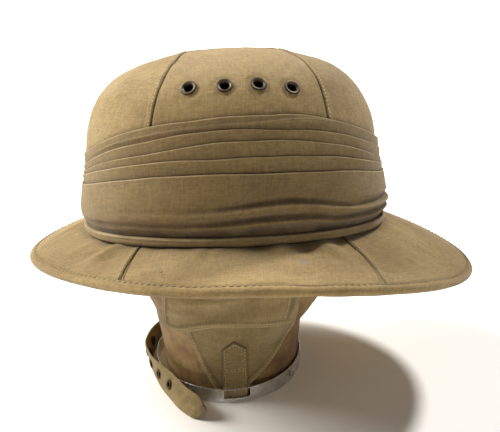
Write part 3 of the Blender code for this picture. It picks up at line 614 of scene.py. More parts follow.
def pagri_height(line, angle):
    """Height of one of the pagri's lines, which climbs from both ends towards the sides."""
    row = PAGRI[line]
    across = np.sin(angle) ** 2
    climb = across * (1 + PAGRI_CLIMB - PAGRI_CLIMB * across)
    end = np.where(np.cos(angle) > 0, row["back"], row["front"])
    shift = np.interp(signed_degrees(angle), PAGRI_SHIFT["angle"], PAGRI_SHIFT[f"line_{line}"])
    return end + (row["side"] - end) * climb + shift


def sleeve_span(height):
    """Front end, back end and half width of the sleeve at a height."""
    return [np.interp(height, SLEEVE["height"], SLEEVE[name]) for name in SLEEVE_COLUMNS[1:]]


def sleeve_at(height, angle, lift):
    """A point of the sleeve's leather at a height and angle, moved out by lift and then leaned."""
    front, back, side = sleeve_span(height)
    x = 0.5 * (front + back) + (0.5 * (back - front) + lift) * np.cos(angle)
    x, y, z = np.broadcast_arrays(x, (side + lift) * np.sin(angle), height + 0.0)
    turn = LEAN * smooth_share(z, LEAN_FROM, LEAN_TO)
    z = z - PIVOT_Z
    return np.stack([x, y * np.cos(turn) + z * np.sin(turn),
                     PIVOT_Z + z * np.cos(turn) - y * np.sin(turn)], -1)


def on_sleeve(x, height, side, lift):
    """A point on one side of the sleeve, at a distance along X instead of an angle."""
    front, back, _ = sleeve_span(height)
    turn = side * np.arccos(np.clip((x - 0.5 * (front + back)) / (0.5 * (back - front)), -1, 1))
    return sleeve_at(height, turn, lift)


def lean(points):
    """Points of the level helmet, leaned about the X axis through the pivot and moved to their place."""
    x, y, z = np.moveaxis(points, -1, 0)
    z = z - PIVOT_Z
    c, s = math.cos(LEAN), math.sin(LEAN)
    return np.stack([x + HEAD_X, y * c + z * s, PIVOT_Z + z * c - y * s], -1)


def round_angles(count):
    """Evenly spaced angles once round, from straight back."""
    return np.arange(count) * 2 * math.pi / count


def steps(length):
    """How many grid lines cut a length into cells of the usual size."""
    return max(3, round(length / CELL)) + 1


def seam_spaced(width):
    """Shares across a piece between two seams: finer cells beside the seams, usual ones between."""
    beside_seam = np.array(SEAM_CELLS) / width
    between = np.linspace(beside_seam[-1], 1 - beside_seam[-1], steps(width))
    return np.concatenate([beside_seam, between[1:-1], 1 - beside_seam[::-1]])


def unit(vectors):
    """The vectors at length 1."""
    return vectors / np.linalg.norm(vectors, axis=-1, keepdims=True)


def run_along(path):
    """Length run along a path at each of its points."""
    return np.concatenate([[0.0], np.cumsum(np.linalg.norm(np.diff(path, axis=0), axis=1))])


def read_off(places, along, lines):
    """Rows of values read off at places along them."""
    return np.stack([np.interp(places, along, column) for column in lines.T], -1)


def resampled(lines, count):
    """Rows of values taken again at a number of even places."""
    return read_off(np.linspace(0, len(lines) - 1, count), np.arange(len(lines)), lines)


def table_at(rows, columns, count):
    """Each column of a table's smooth curve, at a number of even places."""
    return resampled(np.stack(list(table(rows, columns).values()), -1), count).T


def even_path(points):
    """A path drawn again with even short steps."""
    keep = np.concatenate([[True], np.linalg.norm(np.diff(points, axis=0), axis=1) > 1e-5])
    points = points[keep]
    along = run_along(points)
    return read_off(np.linspace(0, along[-1], steps(along[-1]) * 2), along, points)


def away_from(points, path):
    """Distance of every point from a finely drawn path, taken square to the path's nearest step."""
    flat = points.reshape(-1, 3)
    nearest = (np.sum(path**2, -1) - 2 * flat @ path.T).argmin(-1)
    run = unit(np.gradient(path, axis=0) + 1e-9)[nearest]
    across = flat - path[nearest]
    across = across - np.sum(across * run, -1, keepdims=True) * run
    return np.linalg.norm(across, axis=-1).reshape(points.shape[:-1])


def beside(path, out, offset):
    """A path moved sideways over its surface: square to its run and to the surface's outward way."""
    return path + unit(np.cross(out, np.gradient(path, axis=0))) * offset


# Bodies from grids

def cells(rows, columns, wrap_rows, wrap_columns):
    """Row and column of the four corners of every cell, in winding order, counted on past the wrap."""
    r, c = np.meshgrid(np.arange(rows - (not wrap_rows)), np.arange(columns - (not wrap_columns)),
                       indexing="ij")
    return np.stack([r, r, r + 1, r + 1], -1), np.stack([c, c + 1, c + 1, c], -1)


def cell_middles(points):
    """Middle of every cell of a grid."""
    return (points[:-1, :-1] + points[1:, :-1] + points[:-1, 1:] + points[1:, 1:]) / 4


def flat_map(points, wrap_rows, wrap_columns):
    """Where each point lies in the cloth, in metres: run along its row from the middle, and up the grid."""
    if wrap_rows:
        points = np.concatenate([points, points[:1]], 0)
    if wrap_columns:
        points = np.concatenate([points, points[:, :1]], 1)
    middle = points.shape[1] // 2
    across = np.linalg.norm(np.diff(points, axis=1), axis=-1)
    across = np.concatenate([np.zeros_like(across[:, :1]), np.cumsum(across, 1)], 1)
    up = np.linalg.norm(np.diff(points, axis=0), axis=-1).mean(1)
    up = np.concatenate([[0.0], np.cumsum(up)])
    return np.stack([across - across[:, middle:middle + 1], np.broadcast_to(up[:, None], across.shape)], -1)


def body(name, points, quads, spots, soil_and_shade, finish):
    """A closed mesh from corner points, with its UV map in metres, its soil and painted shade, and its faces
    outwards.

    The faces are turned round where the sum of the tetrahedra from the origin to each face is negative.
    """
    a, b, c, d = (points[quads[:, i]] for i in range(4))
    volume = np.sum(a * np.cross(b, c)) + np.sum(a * np.cross(c, d))
    if volume < 0:
        quads, spots = quads[:, ::-1], spots[:, ::-1]
    mesh = bpy.data.meshes.new(name)
    mesh.from_pydata(points, [], quads.tolist())
    mesh.uv_layers.new(name="cloth").data.foreach_set("uv", spots.astype(np.float32).ravel())
    mesh.attributes.new("soil_and_shade", "FLOAT", "POINT").data.foreach_set("value", soil_and_shade.astype(np.float32))
    shape = bmesh.new()
    shape.from_mesh(mesh)
    bmesh.ops.remove_doubles(shape, verts=shape.verts, dist=1e-6)
    bmesh.ops.dissolve_degenerate(shape, edges=shape.edges, dist=1e-7)
    bmesh.ops.delete(shape, geom=[edge for edge in shape.edges if not edge.link_faces], context="EDGES")
    shape.to_mesh(mesh)
    shape.free()
    mesh.shade_smooth()
    mesh.set_sharp_from_angle(angle=SHARP_ANGLE)
    mesh.materials.append(finish)
    piece = bpy.data.objects.new(name, mesh)
    bpy.context.scene.collection.objects.link(piece)
    return piece


def slab(name, outer, inner, finish, keep=None, wrap=False, soil_and_shade=0.0):
    """A sheet with thickness: an outer and an inner grid, walled wherever a kept cell has no neighbour."""
    rows, columns = outer.shape[:2]
    r, c = cells(rows, columns, False, wrap)
    corners = r * columns + c % columns
    if keep is None:
        keep = np.ones(corners.shape[:2], bool)
    flat = flat_map(outer, False, wrap)[r, c]
    count = rows * columns
    quads = [corners[keep], corners[keep][:, ::-1] + count]
    spots = [flat[keep], flat[keep][:, ::-1]]
    closed = np.pad(keep, 1)
    if wrap:
        closed[1:-1, 0], closed[1:-1, -1] = keep[:, -1], keep[:, 0]
    beside_cell = (closed[:-2, 1:-1], closed[1:-1, 2:], closed[2:, 1:-1], closed[1:-1, :-2])
    for side, neighbour in enumerate(beside_cell):
        border = keep & ~neighbour
        first, second = corners[border][:, side], corners[border][:, (side + 1) % 4]
        here, there = flat[border][:, side], flat[border][:, (side + 1) % 4]
        quads.append(np.stack([second, first, first + count, second + count], -1))
        spots.append(np.stack([there, here, here, there], 1))
    points = np.vstack([outer.reshape(-1, 3), inner.reshape(-1, 3)])
    soil_and_shade = np.tile(np.broadcast_to(soil_and_shade, outer.shape[:2]).ravel(), 2)
    return body(name, points, np.vstack(quads), np.vstack(spots), soil_and_shade, finish)


def ring(name, points, finish, wrap=True, soil_and_shade=0.0):
    """A closed tube: each row is one line along it, and the last row joins the first."""
    rows, columns = points.shape[:2]
    r, c = cells(rows, columns, True, wrap)
    quads = ((r % rows) * columns + c % columns).reshape(-1, 4)
    spots = flat_map(points, True, wrap)[r, c].reshape(-1, 4, 2)
    soil_and_shade = np.broadcast_to(soil_and_shade, points.shape[:2]).ravel()
    return body(name, points.reshape(-1, 3), quads, spots, soil_and_shade, finish)


def turned(name, profile, point, axis, finish):
    """A profile of radius, height and tarnish turned about an axis through a point."""
    profile = np.array(profile)
    angles = round_angles(TURNED)
    axis = unit(np.asarray(axis))
    across = unit(np.cross(axis, AXIS_ASIDE))
    along = np.cross(axis, across)
    spoke = np.cos(angles)[:, None] * across + np.sin(angles)[:, None] * along
    points = point + profile[:, 0, None, None] * spoke + profile[:, 1, None, None] * axis
    return ring(name, points, finish, soil_and_shade=profile[:, 2:3])


def tube(name, path, radius, finish):
    """A round cord along a path, closed to a point at both ends.

    Each ring stands square to the path, and its radius falls with the square root near the ends.
    """
    run = unit(np.gradient(path, axis=0))
    across = unit(np.cross(run, PATH_ASIDE))
    up = np.cross(run, across)
    length = run_along(path)
    from_end = np.minimum(length, length[-1] - length)
    width = radius * np.sqrt(np.clip(from_end / (2 * radius), 0, 1))[:, None]
    lines = [path + width * (math.cos(turn) * across + math.sin(turn) * up)
             for turn in round_angles(TUBE_SIDES)]
    return ring(name, np.array(lines), finish, wrap=False)


STITCH_STATIONS = np.array([-1.0, -0.75, 0.0, 0.75, 1.0])
STITCH_SIDES = 6
STITCH_ARCH = (0.7, 1.3)    # height of a stitch's middle and the drop to its ends, in thread radii


def stitches(name, path, out, kind, finish):
    """A row of thread stitches: capsules spaced by the pitch, arched over the cloth, ends sunk into it.

    A stitch's line falls with the square of the way from its middle, and its radius is the root of
    one less that square.
    """
    along = run_along(path)
    number = int(along[-1] // kind["pitch"])
    middles = (np.arange(number) + 0.5) * along[-1] / number
    where = middles[:, None] + STITCH_STATIONS * kind["length"] / 2
    at, over = read_off(where, along, path), unit(read_off(where, along, out))
    across = unit(np.cross(over, at[:, -1:] - at[:, :1]))
    size = kind["thick"] / 2
    top, drop = STITCH_ARCH
    at = at + over * (kind["lift"] + size * (top - drop * STITCH_STATIONS**2))[:, None]
    width = (size * np.sqrt(np.clip(1 - STITCH_STATIONS**2, 0, 1)))[:, None, None]
    turn = round_angles(STITCH_SIDES)[:, None]
    spokes = np.cos(turn) * across[:, :, None] + np.sin(turn) * over[:, :, None]
    points = at[:, :, None] + width * spokes
    stations = len(STITCH_STATIONS)
    r, c = cells(stations, STITCH_SIDES, False, True)
    one = (r * STITCH_SIDES + c % STITCH_SIDES).reshape(-1, 4)
    quads = (one + np.arange(number)[:, None, None] * stations * STITCH_SIDES).reshape(-1, 4)
    spots = np.zeros((len(quads), 4, 2))
    points = points.reshape(-1, 3)
    return body(name, points, quads, spots, np.zeros(len(points)), finish)


def use(piece, slot, *nodes):
    """Let a piece ride with the helmet and stand for its CAD nodes; its slot is not used."""
    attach(piece, "root")
    if nodes:
        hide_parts(*nodes)
    return piece


# Materials

def add(tree, kind, values=None, **settings):
    """Add a node with its settings, and fill its inputs with values or with other nodes' outputs."""
    made = tree.nodes.new(kind)
    for key, value in settings.items():
        setattr(made, key, value)
    for key, value in (values or {}).items():
        if isinstance(value, bpy.types.NodeSocket):
            tree.links.new(value, made.inputs[key])
        else:
            made.inputs[key].default_value = value
    return made


def maths(tree, operation, first, second=0.0):
    """The result of one sum on two values."""
    return add(tree, "ShaderNodeMath", {0: first, 1: second}, operation=operation).outputs[0]


def mixed(tree, share, first, second, kind="MIX"):
    """Two colours mixed by a share."""
    return add(tree, "ShaderNodeMix", {0: share, 6: first, 7: second}, data_type="RGBA",
               blend_type=kind).outputs[2]


def eased(tree, value, low, high, start=0.0, end=1.0):
    """A value's way from low to high, eased, as a number from start to end."""
    return add(tree, "ShaderNodeMapRange", {0: value, 1: low, 2: high, 3: start, 4: end},
               interpolation_type="SMOOTHSTEP").outputs[0]


def noise(tree, place, scale, detail=3.0, roughness=0.55):
    """Noise from 0 to 1 at a place."""
    return add(tree, "ShaderNodeTexNoise", {"Vector": place, "Scale": scale, "Detail": detail,
                                            "Roughness": roughness}).outputs[0]


def shaded(tree, colour, shade):
    """A colour made darker or lighter by a shade."""
    grey = add(tree, "ShaderNodeCombineColor", {0: shade, 1: shade, 2: shade}).outputs[0]
    return mixed(tree, 1.0, colour, grey, "MULTIPLY")


def object_place(tree):
    """The place on the object, in metres."""
    return add(tree, "ShaderNodeTexCoord").outputs["Object"]


def new_group(name, given, results):
    """An empty node group with named sockets, given as a name and its starting value."""
    tree = bpy.data.node_groups.new(name, "ShaderNodeTree")
    for socket, value in given.items():
        kind = {1: "NodeSocketFloat", 3: "NodeSocketVector", 4: "NodeSocketColor"}[np.size(value)]
        tree.interface.new_socket(socket, in_out="INPUT", socket_type=kind).default_value = value
    for socket, kind in results.items():
        tree.interface.new_socket(socket, in_out="OUTPUT", socket_type=kind)
    return tree, tree.nodes.new("NodeGroupInput").outputs, tree.nodes.new("NodeGroupOutput").inputs


def place_group(tree, group, **values):
    """Put a node group into a tree; underscores in the names of its inputs stand for spaces."""
    made = tree.nodes.new("ShaderNodeGroup")
    made.node_tree = group
    for key, value in values.items():
        socket = made.inputs[key.replace("_", " ")]
        if isinstance(value, bpy.types.NodeSocket):
            tree.links.new(value, socket)
        else:
            socket.default_value = value
    return made.outputs


def weave_group():
    """Threads of a twill in the cloth's own UV metres: two crossed rows of waves, broken by noise.

    Its streaks are slubs, thicker lengths of thread, drawn out along both thread ways.
    """
    tree, given, result = new_group("twill weave", {"Pitch": 0.001}, {"Threads": "NodeSocketFloat",
                                                                     "Streaks": "NodeSocketFloat"})
    flat = add(tree, "ShaderNodeTexCoord").outputs["UV"]
    ways = [add(tree, "ShaderNodeMapping", {"Vector": flat, "Scale": scale}).outputs[0]
            for scale in ((0.10, 1.0, 1.0), (1.0, 0.07, 1.0))]
    streaks = maths(tree, "ADD", noise(tree, ways[0], 900.0, 2.0), noise(tree, ways[1], 1100.0, 2.0))
    tree.links.new(maths(tree, "MULTIPLY", streaks, 0.5), result["Streaks"])
    uv = add(tree, "ShaderNodeSeparateXYZ", {0: flat}).outputs
    warp = maths(tree, "DIVIDE", maths(tree, "ADD", uv[0], uv[1]), given["Pitch"])
    weft = maths(tree, "DIVIDE", maths(tree, "SUBTRACT", uv[0], uv[1]), given["Pitch"])
    ridges = maths(tree, "SINE", maths(tree, "MULTIPLY", warp, 2 * math.pi))
    cross = maths(tree, "SINE", maths(tree, "MULTIPLY", weft, 4 * math.pi))
    threads = maths(tree, "MULTIPLY_ADD", ridges, 0.3)
    threads.node.inputs[2].default_value = 0.5
    broken = maths(tree, "MULTIPLY", cross, 0.15)
    slub = maths(tree, "SUBTRACT", noise(tree, object_place(tree), 900.0, 2.0), 0.5)
    total = maths(tree, "ADD", maths(tree, "ADD", threads, broken), slub)
    tree.links.new(total, result["Threads"])
    return tree


def ageing_group():
    """Old cloth: sun-faded patches, tinted blotches, fine flecks, and darkening where a piece's value is
    above 0, partly soil and partly painted shade in seams, creases and hollows.

    Where that value is below 0 the cloth is made pale instead, partly rubbed wear and partly painted
    highlight on fold edges and crests.
    """
    given_values = {"Cloth": (0.3, 0.2, 0.1, 1), "Faded": (0.4, 0.3, 0.15, 1),
                    "Soiled": (0.1, 0.06, 0.03, 1), "Tint": (0.3, 0.15, 0.1, 1),
                    "Rubbed": (0.5, 0.4, 0.2, 1), "Soil": 0.0, "Fading": 0.6}
    tree, given, result = new_group("cloth ageing", given_values,
                                    {"Colour": "NodeSocketColor", "Slack": "NodeSocketFloat"})
    place = object_place(tree)
    broad = noise(tree, place, 16.0, 3.0)
    middling = noise(tree, place, 75.0, 4.0, 0.6)
    fine = noise(tree, place, 420.0, 3.0, 0.7)
    patches = maths(tree, "MULTIPLY", eased(tree, broad, 0.38, 0.66), given["Fading"])
    colour = mixed(tree, patches, given["Cloth"], given["Faded"])
    blotches = maths(tree, "MULTIPLY", eased(tree, middling, 0.52, 0.75), 0.35)
    colour = mixed(tree, blotches, colour, given["Tint"])
    colour = shaded(tree, colour, eased(tree, fine, 0.25, 0.75, 0.86, 1.12))
    paling = maths(tree, "MAXIMUM", maths(tree, "MULTIPLY", given["Soil"], -1.0), 0.0)
    rubbed = maths(tree, "MULTIPLY", paling, eased(tree, middling, 0.3, 0.6, 0.45, 1.0))
    colour = mixed(tree, rubbed, colour, given["Rubbed"])
    dirt_and_shade = maths(tree, "MULTIPLY", maths(tree, "MAXIMUM", given["Soil"], 0.0),
                 eased(tree, middling, 0.25, 0.65, 0.6, 1.0))
    colour = mixed(tree, dirt_and_shade, colour, given["Soiled"])
    loose = maths(tree, "ADD", maths(tree, "MULTIPLY", middling, 0.6), maths(tree, "MULTIPLY", fine, 0.4))
    tree.links.new(colour, result["Colour"])
    tree.links.new(loose, result["Slack"])
    return tree


def spot_group():
    """A small stain: 1 at its centre, fading out at a ragged radius."""
    tree, given, result = new_group("stain", {"Centre": (0, 0, 0), "Radius": 0.002},
                                    {"Mask": "NodeSocketFloat"})
    place = object_place(tree)
    far = add(tree, "ShaderNodeVectorMath", {0: place, 1: given["Centre"]}, operation="DISTANCE").outputs[1]
    share = maths(tree, "DIVIDE", far, given["Radius"])
    ragged = maths(tree, "ADD", share, eased(tree, noise(tree, place, 700.0), 0.3, 0.7, -0.35, 0.35))
    tree.links.new(eased(tree, ragged, 0.35, 1.1, 1.0, 0.0), result["Mask"])
    return tree


def grain_group():
    """Leather grain: cells of a fine Voronoi with worn tops, long creases, and rubbed or stained places."""
    given_values = {"Leather": (0.2, 0.1, 0.05, 1), "Rubbed": (0.3, 0.18, 0.1, 1),
                    "Stained": (0.1, 0.04, 0.03, 1)}
    tree, given, result = new_group("leather grain", given_values,
                                    {"Colour": "NodeSocketColor", "Relief": "NodeSocketFloat"})
    place = object_place(tree)
    grain = add(tree, "ShaderNodeTexVoronoi", {"Vector": place, "Scale": 850.0},
                feature="SMOOTH_F1").outputs[0]
    upright = add(tree, "ShaderNodeMapping", {"Vector": place, "Scale": (1.0, 1.0, 0.22)}).outputs[0]
    creases = noise(tree, upright, 130.0, 5.0, 0.65)
    rubbed = noise(tree, place, 34.0, 4.0, 0.6)
    stained = noise(tree, place, 21.0, 3.0)
    colour = mixed(tree, eased(tree, rubbed, 0.42, 0.7), given["Leather"], given["Rubbed"])
    colour = mixed(tree, eased(tree, stained, 0.5, 0.72, 0.0, 0.8), colour, given["Stained"])
    colour = mixed(tree, eased(tree, creases, 0.55, 0.72, 0.0, 0.5), colour, given["Stained"])
    relief = maths(tree, "ADD", maths(tree, "MULTIPLY", grain, 0.3), maths(tree, "MULTIPLY", creases, -0.7))
    tree.links.new(colour, result["Colour"])
    tree.links.new(relief, result["Relief"])
    return tree


def wear_group():
    """Worn metal: tarnish kept where the piece is not rubbed, and fine scratches all over."""
    given_values = {"Metal": (0.5, 0.5, 0.5, 1), "Tarnish": (0.1, 0.08, 0.06, 1), "Kept": 0.0}
    tree, given, result = new_group("metal wear", given_values, {"Colour": "NodeSocketColor",
                                                                 "Dull": "NodeSocketFloat"})
    place = object_place(tree)
    patches = noise(tree, place, 380.0, 5.0, 0.7)
    flat = add(tree, "ShaderNodeMapping", {"Vector": place, "Scale": (0.15, 0.15, 1.0)}).outputs[0]
    scratches = noise(tree, flat, 2200.0, 2.0, 0.7)
    kept = maths(tree, "ADD", given["Kept"], eased(tree, patches, 0.45, 0.8, -0.1, 0.5))
    kept = add(tree, "ShaderNodeClamp", {0: kept}).outputs[0]
    tree.links.new(mixed(tree, kept, given["Metal"], given["Tarnish"]), result["Colour"])
    tree.links.new(maths(tree, "ADD", kept, maths(tree, "MULTIPLY", scratches, 0.35)), result["Dull"])
    return tree


WEAVE = weave_group()
AGEING = ageing_group()
SPOT = spot_group()
GRAIN = grain_group()
WEAR = wear_group()


def new_material(name, **fixed):
    """A material with its shader; the fixed values stay on the shader's own sockets."""
    finish = bpy.data.materials.new(name)
    finish.use_nodes = True
    shader = finish.node_tree.nodes["Principled BSDF"]
    for key, value in fixed.items():
        shader.inputs[key.replace("_", " ")].default_value = value
    return finish, finish.node_tree, shader


def soil_and_shade_of(tree):
    """How soiled, tarnished, or painted with shade or highlight a piece says it is at this place."""
    return add(tree, "ShaderNodeAttribute", attribute_name="soil_and_shade").outputs["Fac"]


def bumped(tree, shader, height, depth):
    """Raise the surface by a height from 0 to 1 times a depth in metres."""
    bump = add(tree, "ShaderNodeBump", {"Strength": 1.0, "Distance": depth, "Height": height})
    tree.links.new(bump.outputs[0], shader.inputs["Normal"])


def cloth_finish(name, colours, pitch, depth, spots=()):
    """Old cotton: its weave, its uneven colour, its soil and painted shade and highlight, and its spots
    (place, radius, colour, strength).
    """
    finish, tree, shader = new_material(name, Roughness=0.92, Sheen_Weight=0.15, Sheen_Roughness=0.5)
    shader.inputs["Specular IOR Level"].default_value = 0.2
    aged = place_group(tree, AGEING, Soil=soil_and_shade_of(tree),
                       **{key: (*colour, 1) for key, colour in colours.items()})
    weave = place_group(tree, WEAVE, Pitch=pitch)
    threads = weave["Threads"]
    thread_shade = maths(tree, "MULTIPLY", eased(tree, threads, 0.1, 0.9, 0.88, 1.08),
                         eased(tree, weave["Streaks"], 0.35, 0.65, 0.86, 1.12))
    colour = shaded(tree, aged["Colour"], thread_shade)
    for centre, radius, stain, strength in spots:
        mask = place_group(tree, SPOT, Centre=tuple(centre), Radius=radius)["Mask"]
        colour = mixed(tree, maths(tree, "MULTIPLY", mask, strength), colour, (*stain, 1))
    tree.links.new(colour, shader.inputs["Base Color"])
    height = maths(tree, "ADD", threads, maths(tree, "MULTIPLY", aged["Slack"], 2.0))
    bumped(tree, shader, height, depth)
    return finish


def leather_finish():
    """Worn brown leather."""
    finish, tree, shader = new_material("sleeve_leather")
    shader.inputs["Specular IOR Level"].default_value = 0.25
    grain = place_group(tree, GRAIN, Leather=(0.180, 0.106, 0.038, 1), Rubbed=(0.310, 0.205, 0.078, 1),
                        Stained=(0.105, 0.042, 0.025, 1))
    tree.links.new(grain["Colour"], shader.inputs["Base Color"])
    tree.links.new(eased(tree, grain["Relief"], -0.6, 0.2, 0.72, 0.5), shader.inputs["Roughness"])
    bumped(tree, shader, grain["Relief"], 0.0008)
    return finish


def pith_finish():
    """Bare moulded pith: pale, fibrous and quite matt."""
    finish, tree, shader = new_material("bare_pith", Roughness=0.95)
    place = object_place(tree)
    flat = add(tree, "ShaderNodeMapping", {"Vector": place, "Scale": (0.2, 0.2, 1.0)}).outputs[0]
    fibres = noise(tree, flat, 500.0, 5.0, 0.7)
    patches = noise(tree, place, 30.0, 3.0)
    colour = mixed(tree, eased(tree, fibres, 0.35, 0.7), (0.30, 0.21, 0.11, 1), (0.45, 0.34, 0.19, 1))
    colour = mixed(tree, eased(tree, patches, 0.45, 0.75, 0.0, 0.5), colour, (0.24, 0.17, 0.09, 1))
    tree.links.new(colour, shader.inputs["Base Color"])
    bumped(tree, shader, fibres, 0.0005)
    return finish


def metal_finish(name, metal, tarnish, smooth, dull, depth):
    """Worn metal whose tarnish stays where the piece says that it is soiled."""
    finish, tree, shader = new_material(name, Metallic=1.0)
    shade_and_tarnish = place_group(tree, WEAR, Metal=(*metal, 1), Tarnish=(*tarnish, 1), Kept=soil_and_shade_of(tree))
    tree.links.new(shade_and_tarnish["Colour"], shader.inputs["Base Color"])
    tree.links.new(eased(tree, shade_and_tarnish["Dull"], 0.0, 1.3, smooth, dull), shader.inputs["Roughness"])
    bumped(tree, shader, shade_and_tarnish["Dull"], depth)
    return finish


def on_brim(angle, share):
    """Where a spot on the brim's cloth lies in the scene."""
    return lean(brim_at(share, math.radians(angle), 0.0))


def on_crown(angle, height, lift=0.0):
    """Where a spot on the crown lies in the scene."""
    return lean(crown_at(height, math.radians(angle), lift))


DARK_SPOT = (0.05, 0.03, 0.02)
GREY_SPOT = (0.20, 0.18, 0.15)
PALE_SPOT = (0.55, 0.47, 0.33)
DRILL = cloth_finish(
    "khaki_drill_cloth",
    {"Cloth": (0.235, 0.160, 0.062), "Faded": (0.325, 0.232, 0.097), "Soiled": (0.065, 0.038, 0.014),
     "Tint": (0.215, 0.128, 0.050), "Rubbed": (0.42, 0.31, 0.15)}, 0.0012, 0.00016,
    spots=((on_brim(-110.0, 0.64), 0.0011, DARK_SPOT, 0.85), (on_brim(-69.7, 0.60), 0.0009, DARK_SPOT, 0.8),
           (on_brim(-56.0, 0.62), 0.0007, DARK_SPOT, 0.4), (on_brim(-73.5, 0.45), 0.0045, GREY_SPOT, 0.45),
           (on_brim(-27.0, 0.50), 0.0080, DARK_SPOT, 0.16),
           (on_crown(-81.0, 0.2315), 0.0008, DARK_SPOT, 0.5)))
PAGRI_DRILL = cloth_finish(
    "pagri_cotton",
    {"Cloth": (0.185, 0.125, 0.050), "Faded": (0.240, 0.168, 0.070), "Soiled": (0.042, 0.025, 0.011),
     "Tint": (0.165, 0.100, 0.042), "Rubbed": (0.46, 0.35, 0.20)}, 0.0009, 0.00012,
    spots=((on_crown(-106.0, 0.1420, 0.006), 0.0010, DARK_SPOT, 0.6),
           (on_crown(-133.0, 0.1660, 0.005), 0.0008, PALE_SPOT, 0.5)))
FLAP_DRILL = cloth_finish(
    "flap_drill_cloth",
    {"Cloth": (0.208, 0.146, 0.058), "Faded": (0.270, 0.196, 0.086), "Soiled": (0.050, 0.032, 0.014),
     "Tint": (0.188, 0.120, 0.052), "Rubbed": (0.36, 0.28, 0.14)}, 0.0010, 0.00014)
PIPED = cloth_finish(
    "piping_cloth",
    {"Cloth": (0.300, 0.225, 0.105), "Faded": (0.370, 0.285, 0.145), "Soiled": (0.090, 0.062, 0.034),
     "Tint": (0.260, 0.180, 0.085), "Rubbed": (0.42, 0.33, 0.18)}, 0.0008, 0.0001)
THREAD = cloth_finish(
    "thread",
    {"Cloth": (0.480, 0.370, 0.200), "Faded": (0.580, 0.470, 0.280), "Soiled": (0.180, 0.120, 0.060),
     "Tint": (0.400, 0.280, 0.140), "Rubbed": (0.60, 0.48, 0.30)}, 0.0005, 0.00006)
STRAP_CLOTH = cloth_finish(
    "strap_webbing",
    {"Cloth": (0.230, 0.165, 0.058), "Faded": (0.290, 0.218, 0.085), "Soiled": (0.085, 0.052, 0.020),
     "Tint": (0.200, 0.125, 0.045), "Rubbed": (0.33, 0.26, 0.12)}, 0.0007, 0.00016)
LEATHER = leather_finish()
BARE_PITH = pith_finish()
VENT_METAL = metal_finish("old_brass", (0.085, 0.066, 0.044), (0.020, 0.015, 0.010), 0.48, 0.75, 0.00008)
STRAP_METAL = metal_finish("strap_brass", (0.110, 0.070, 0.040), (0.035, 0.020, 0.011), 0.48, 0.75, 0.00008)
ALUMINIUM = metal_finish("band_aluminium", (0.74, 0.73, 0.72), (0.34, 0.33, 0.32), 0.26, 0.5, 0.00006)


# The helmet

def seam_angle(which, run):
    """Angle of the crown's front or back seam at a run up the outline, in radians, without its side."""
    return np.radians(np.interp(run, CROWN["run"], CROWN[f"{which}_seam"]))


def crown_seam(which, side):
    """A crown seam from the brim to the pole, and the surface's outward way along it."""
    run = np.linspace(crown_run(JOIN_Z), CROWN["run"][-1], SEAM_STEPS)
    angle = side * seam_angle(which, run)
    path = crown_on(run, angle, 0.0)
    return run, path, unit(crown_on(run, angle, NUDGE) - path)


def vent_frames():
    """Points and axes of the eyelets, the left side's first."""
    angles = np.radians([side * angle for side in (-1, 1) for angle, _ in VENTS])
    heights = np.array([height for _ in (-1, 1) for _, height in VENTS])
    points = crown_at(heights, angles, 0.0)
    return points, unit(crown_at(heights, angles, NUDGE) - points)


def from_vents(points):
    """Distance of every point from the nearest eyelet's axis."""
    nearest = np.full(points.shape[:-1], 1.0)
    for point, axis in zip(*vent_frames()):
        across = points - point
        depth = np.sum(across * axis, -1, keepdims=True)
        far = np.linalg.norm(across - depth * axis, axis=-1) + (np.abs(depth[..., 0]) > 0.02)
        nearest = np.minimum(nearest, far)
    return nearest


def shade_and_stain(part, angle):
    """Painted shade, partly stain, on the crown or the pagri on the side turned from the lamps: a bell of
    the angle.
    """
    middle, half, soil_and_shade = SHADE_AND_STAIN[part]
    return soil_and_shade * hump(signed_degrees(angle), middle, half)


def pierced(points):
    """Which cells of a grid stay: those whose middle is clear of every eyelet."""
    return from_vents(cell_middles(points)) > VENT_CUT


def strip_lift(seam):
    """Rise of the strip over a turned edge: up beside the seam, level, and down at its far side."""
    down = smooth_share(seam, STRIP_LEVEL * STRIP_TO, STRIP_TO)
    return STRIP_RISE * smooth_share(seam, 0.0, STRIP_FROM) * (1 - down)


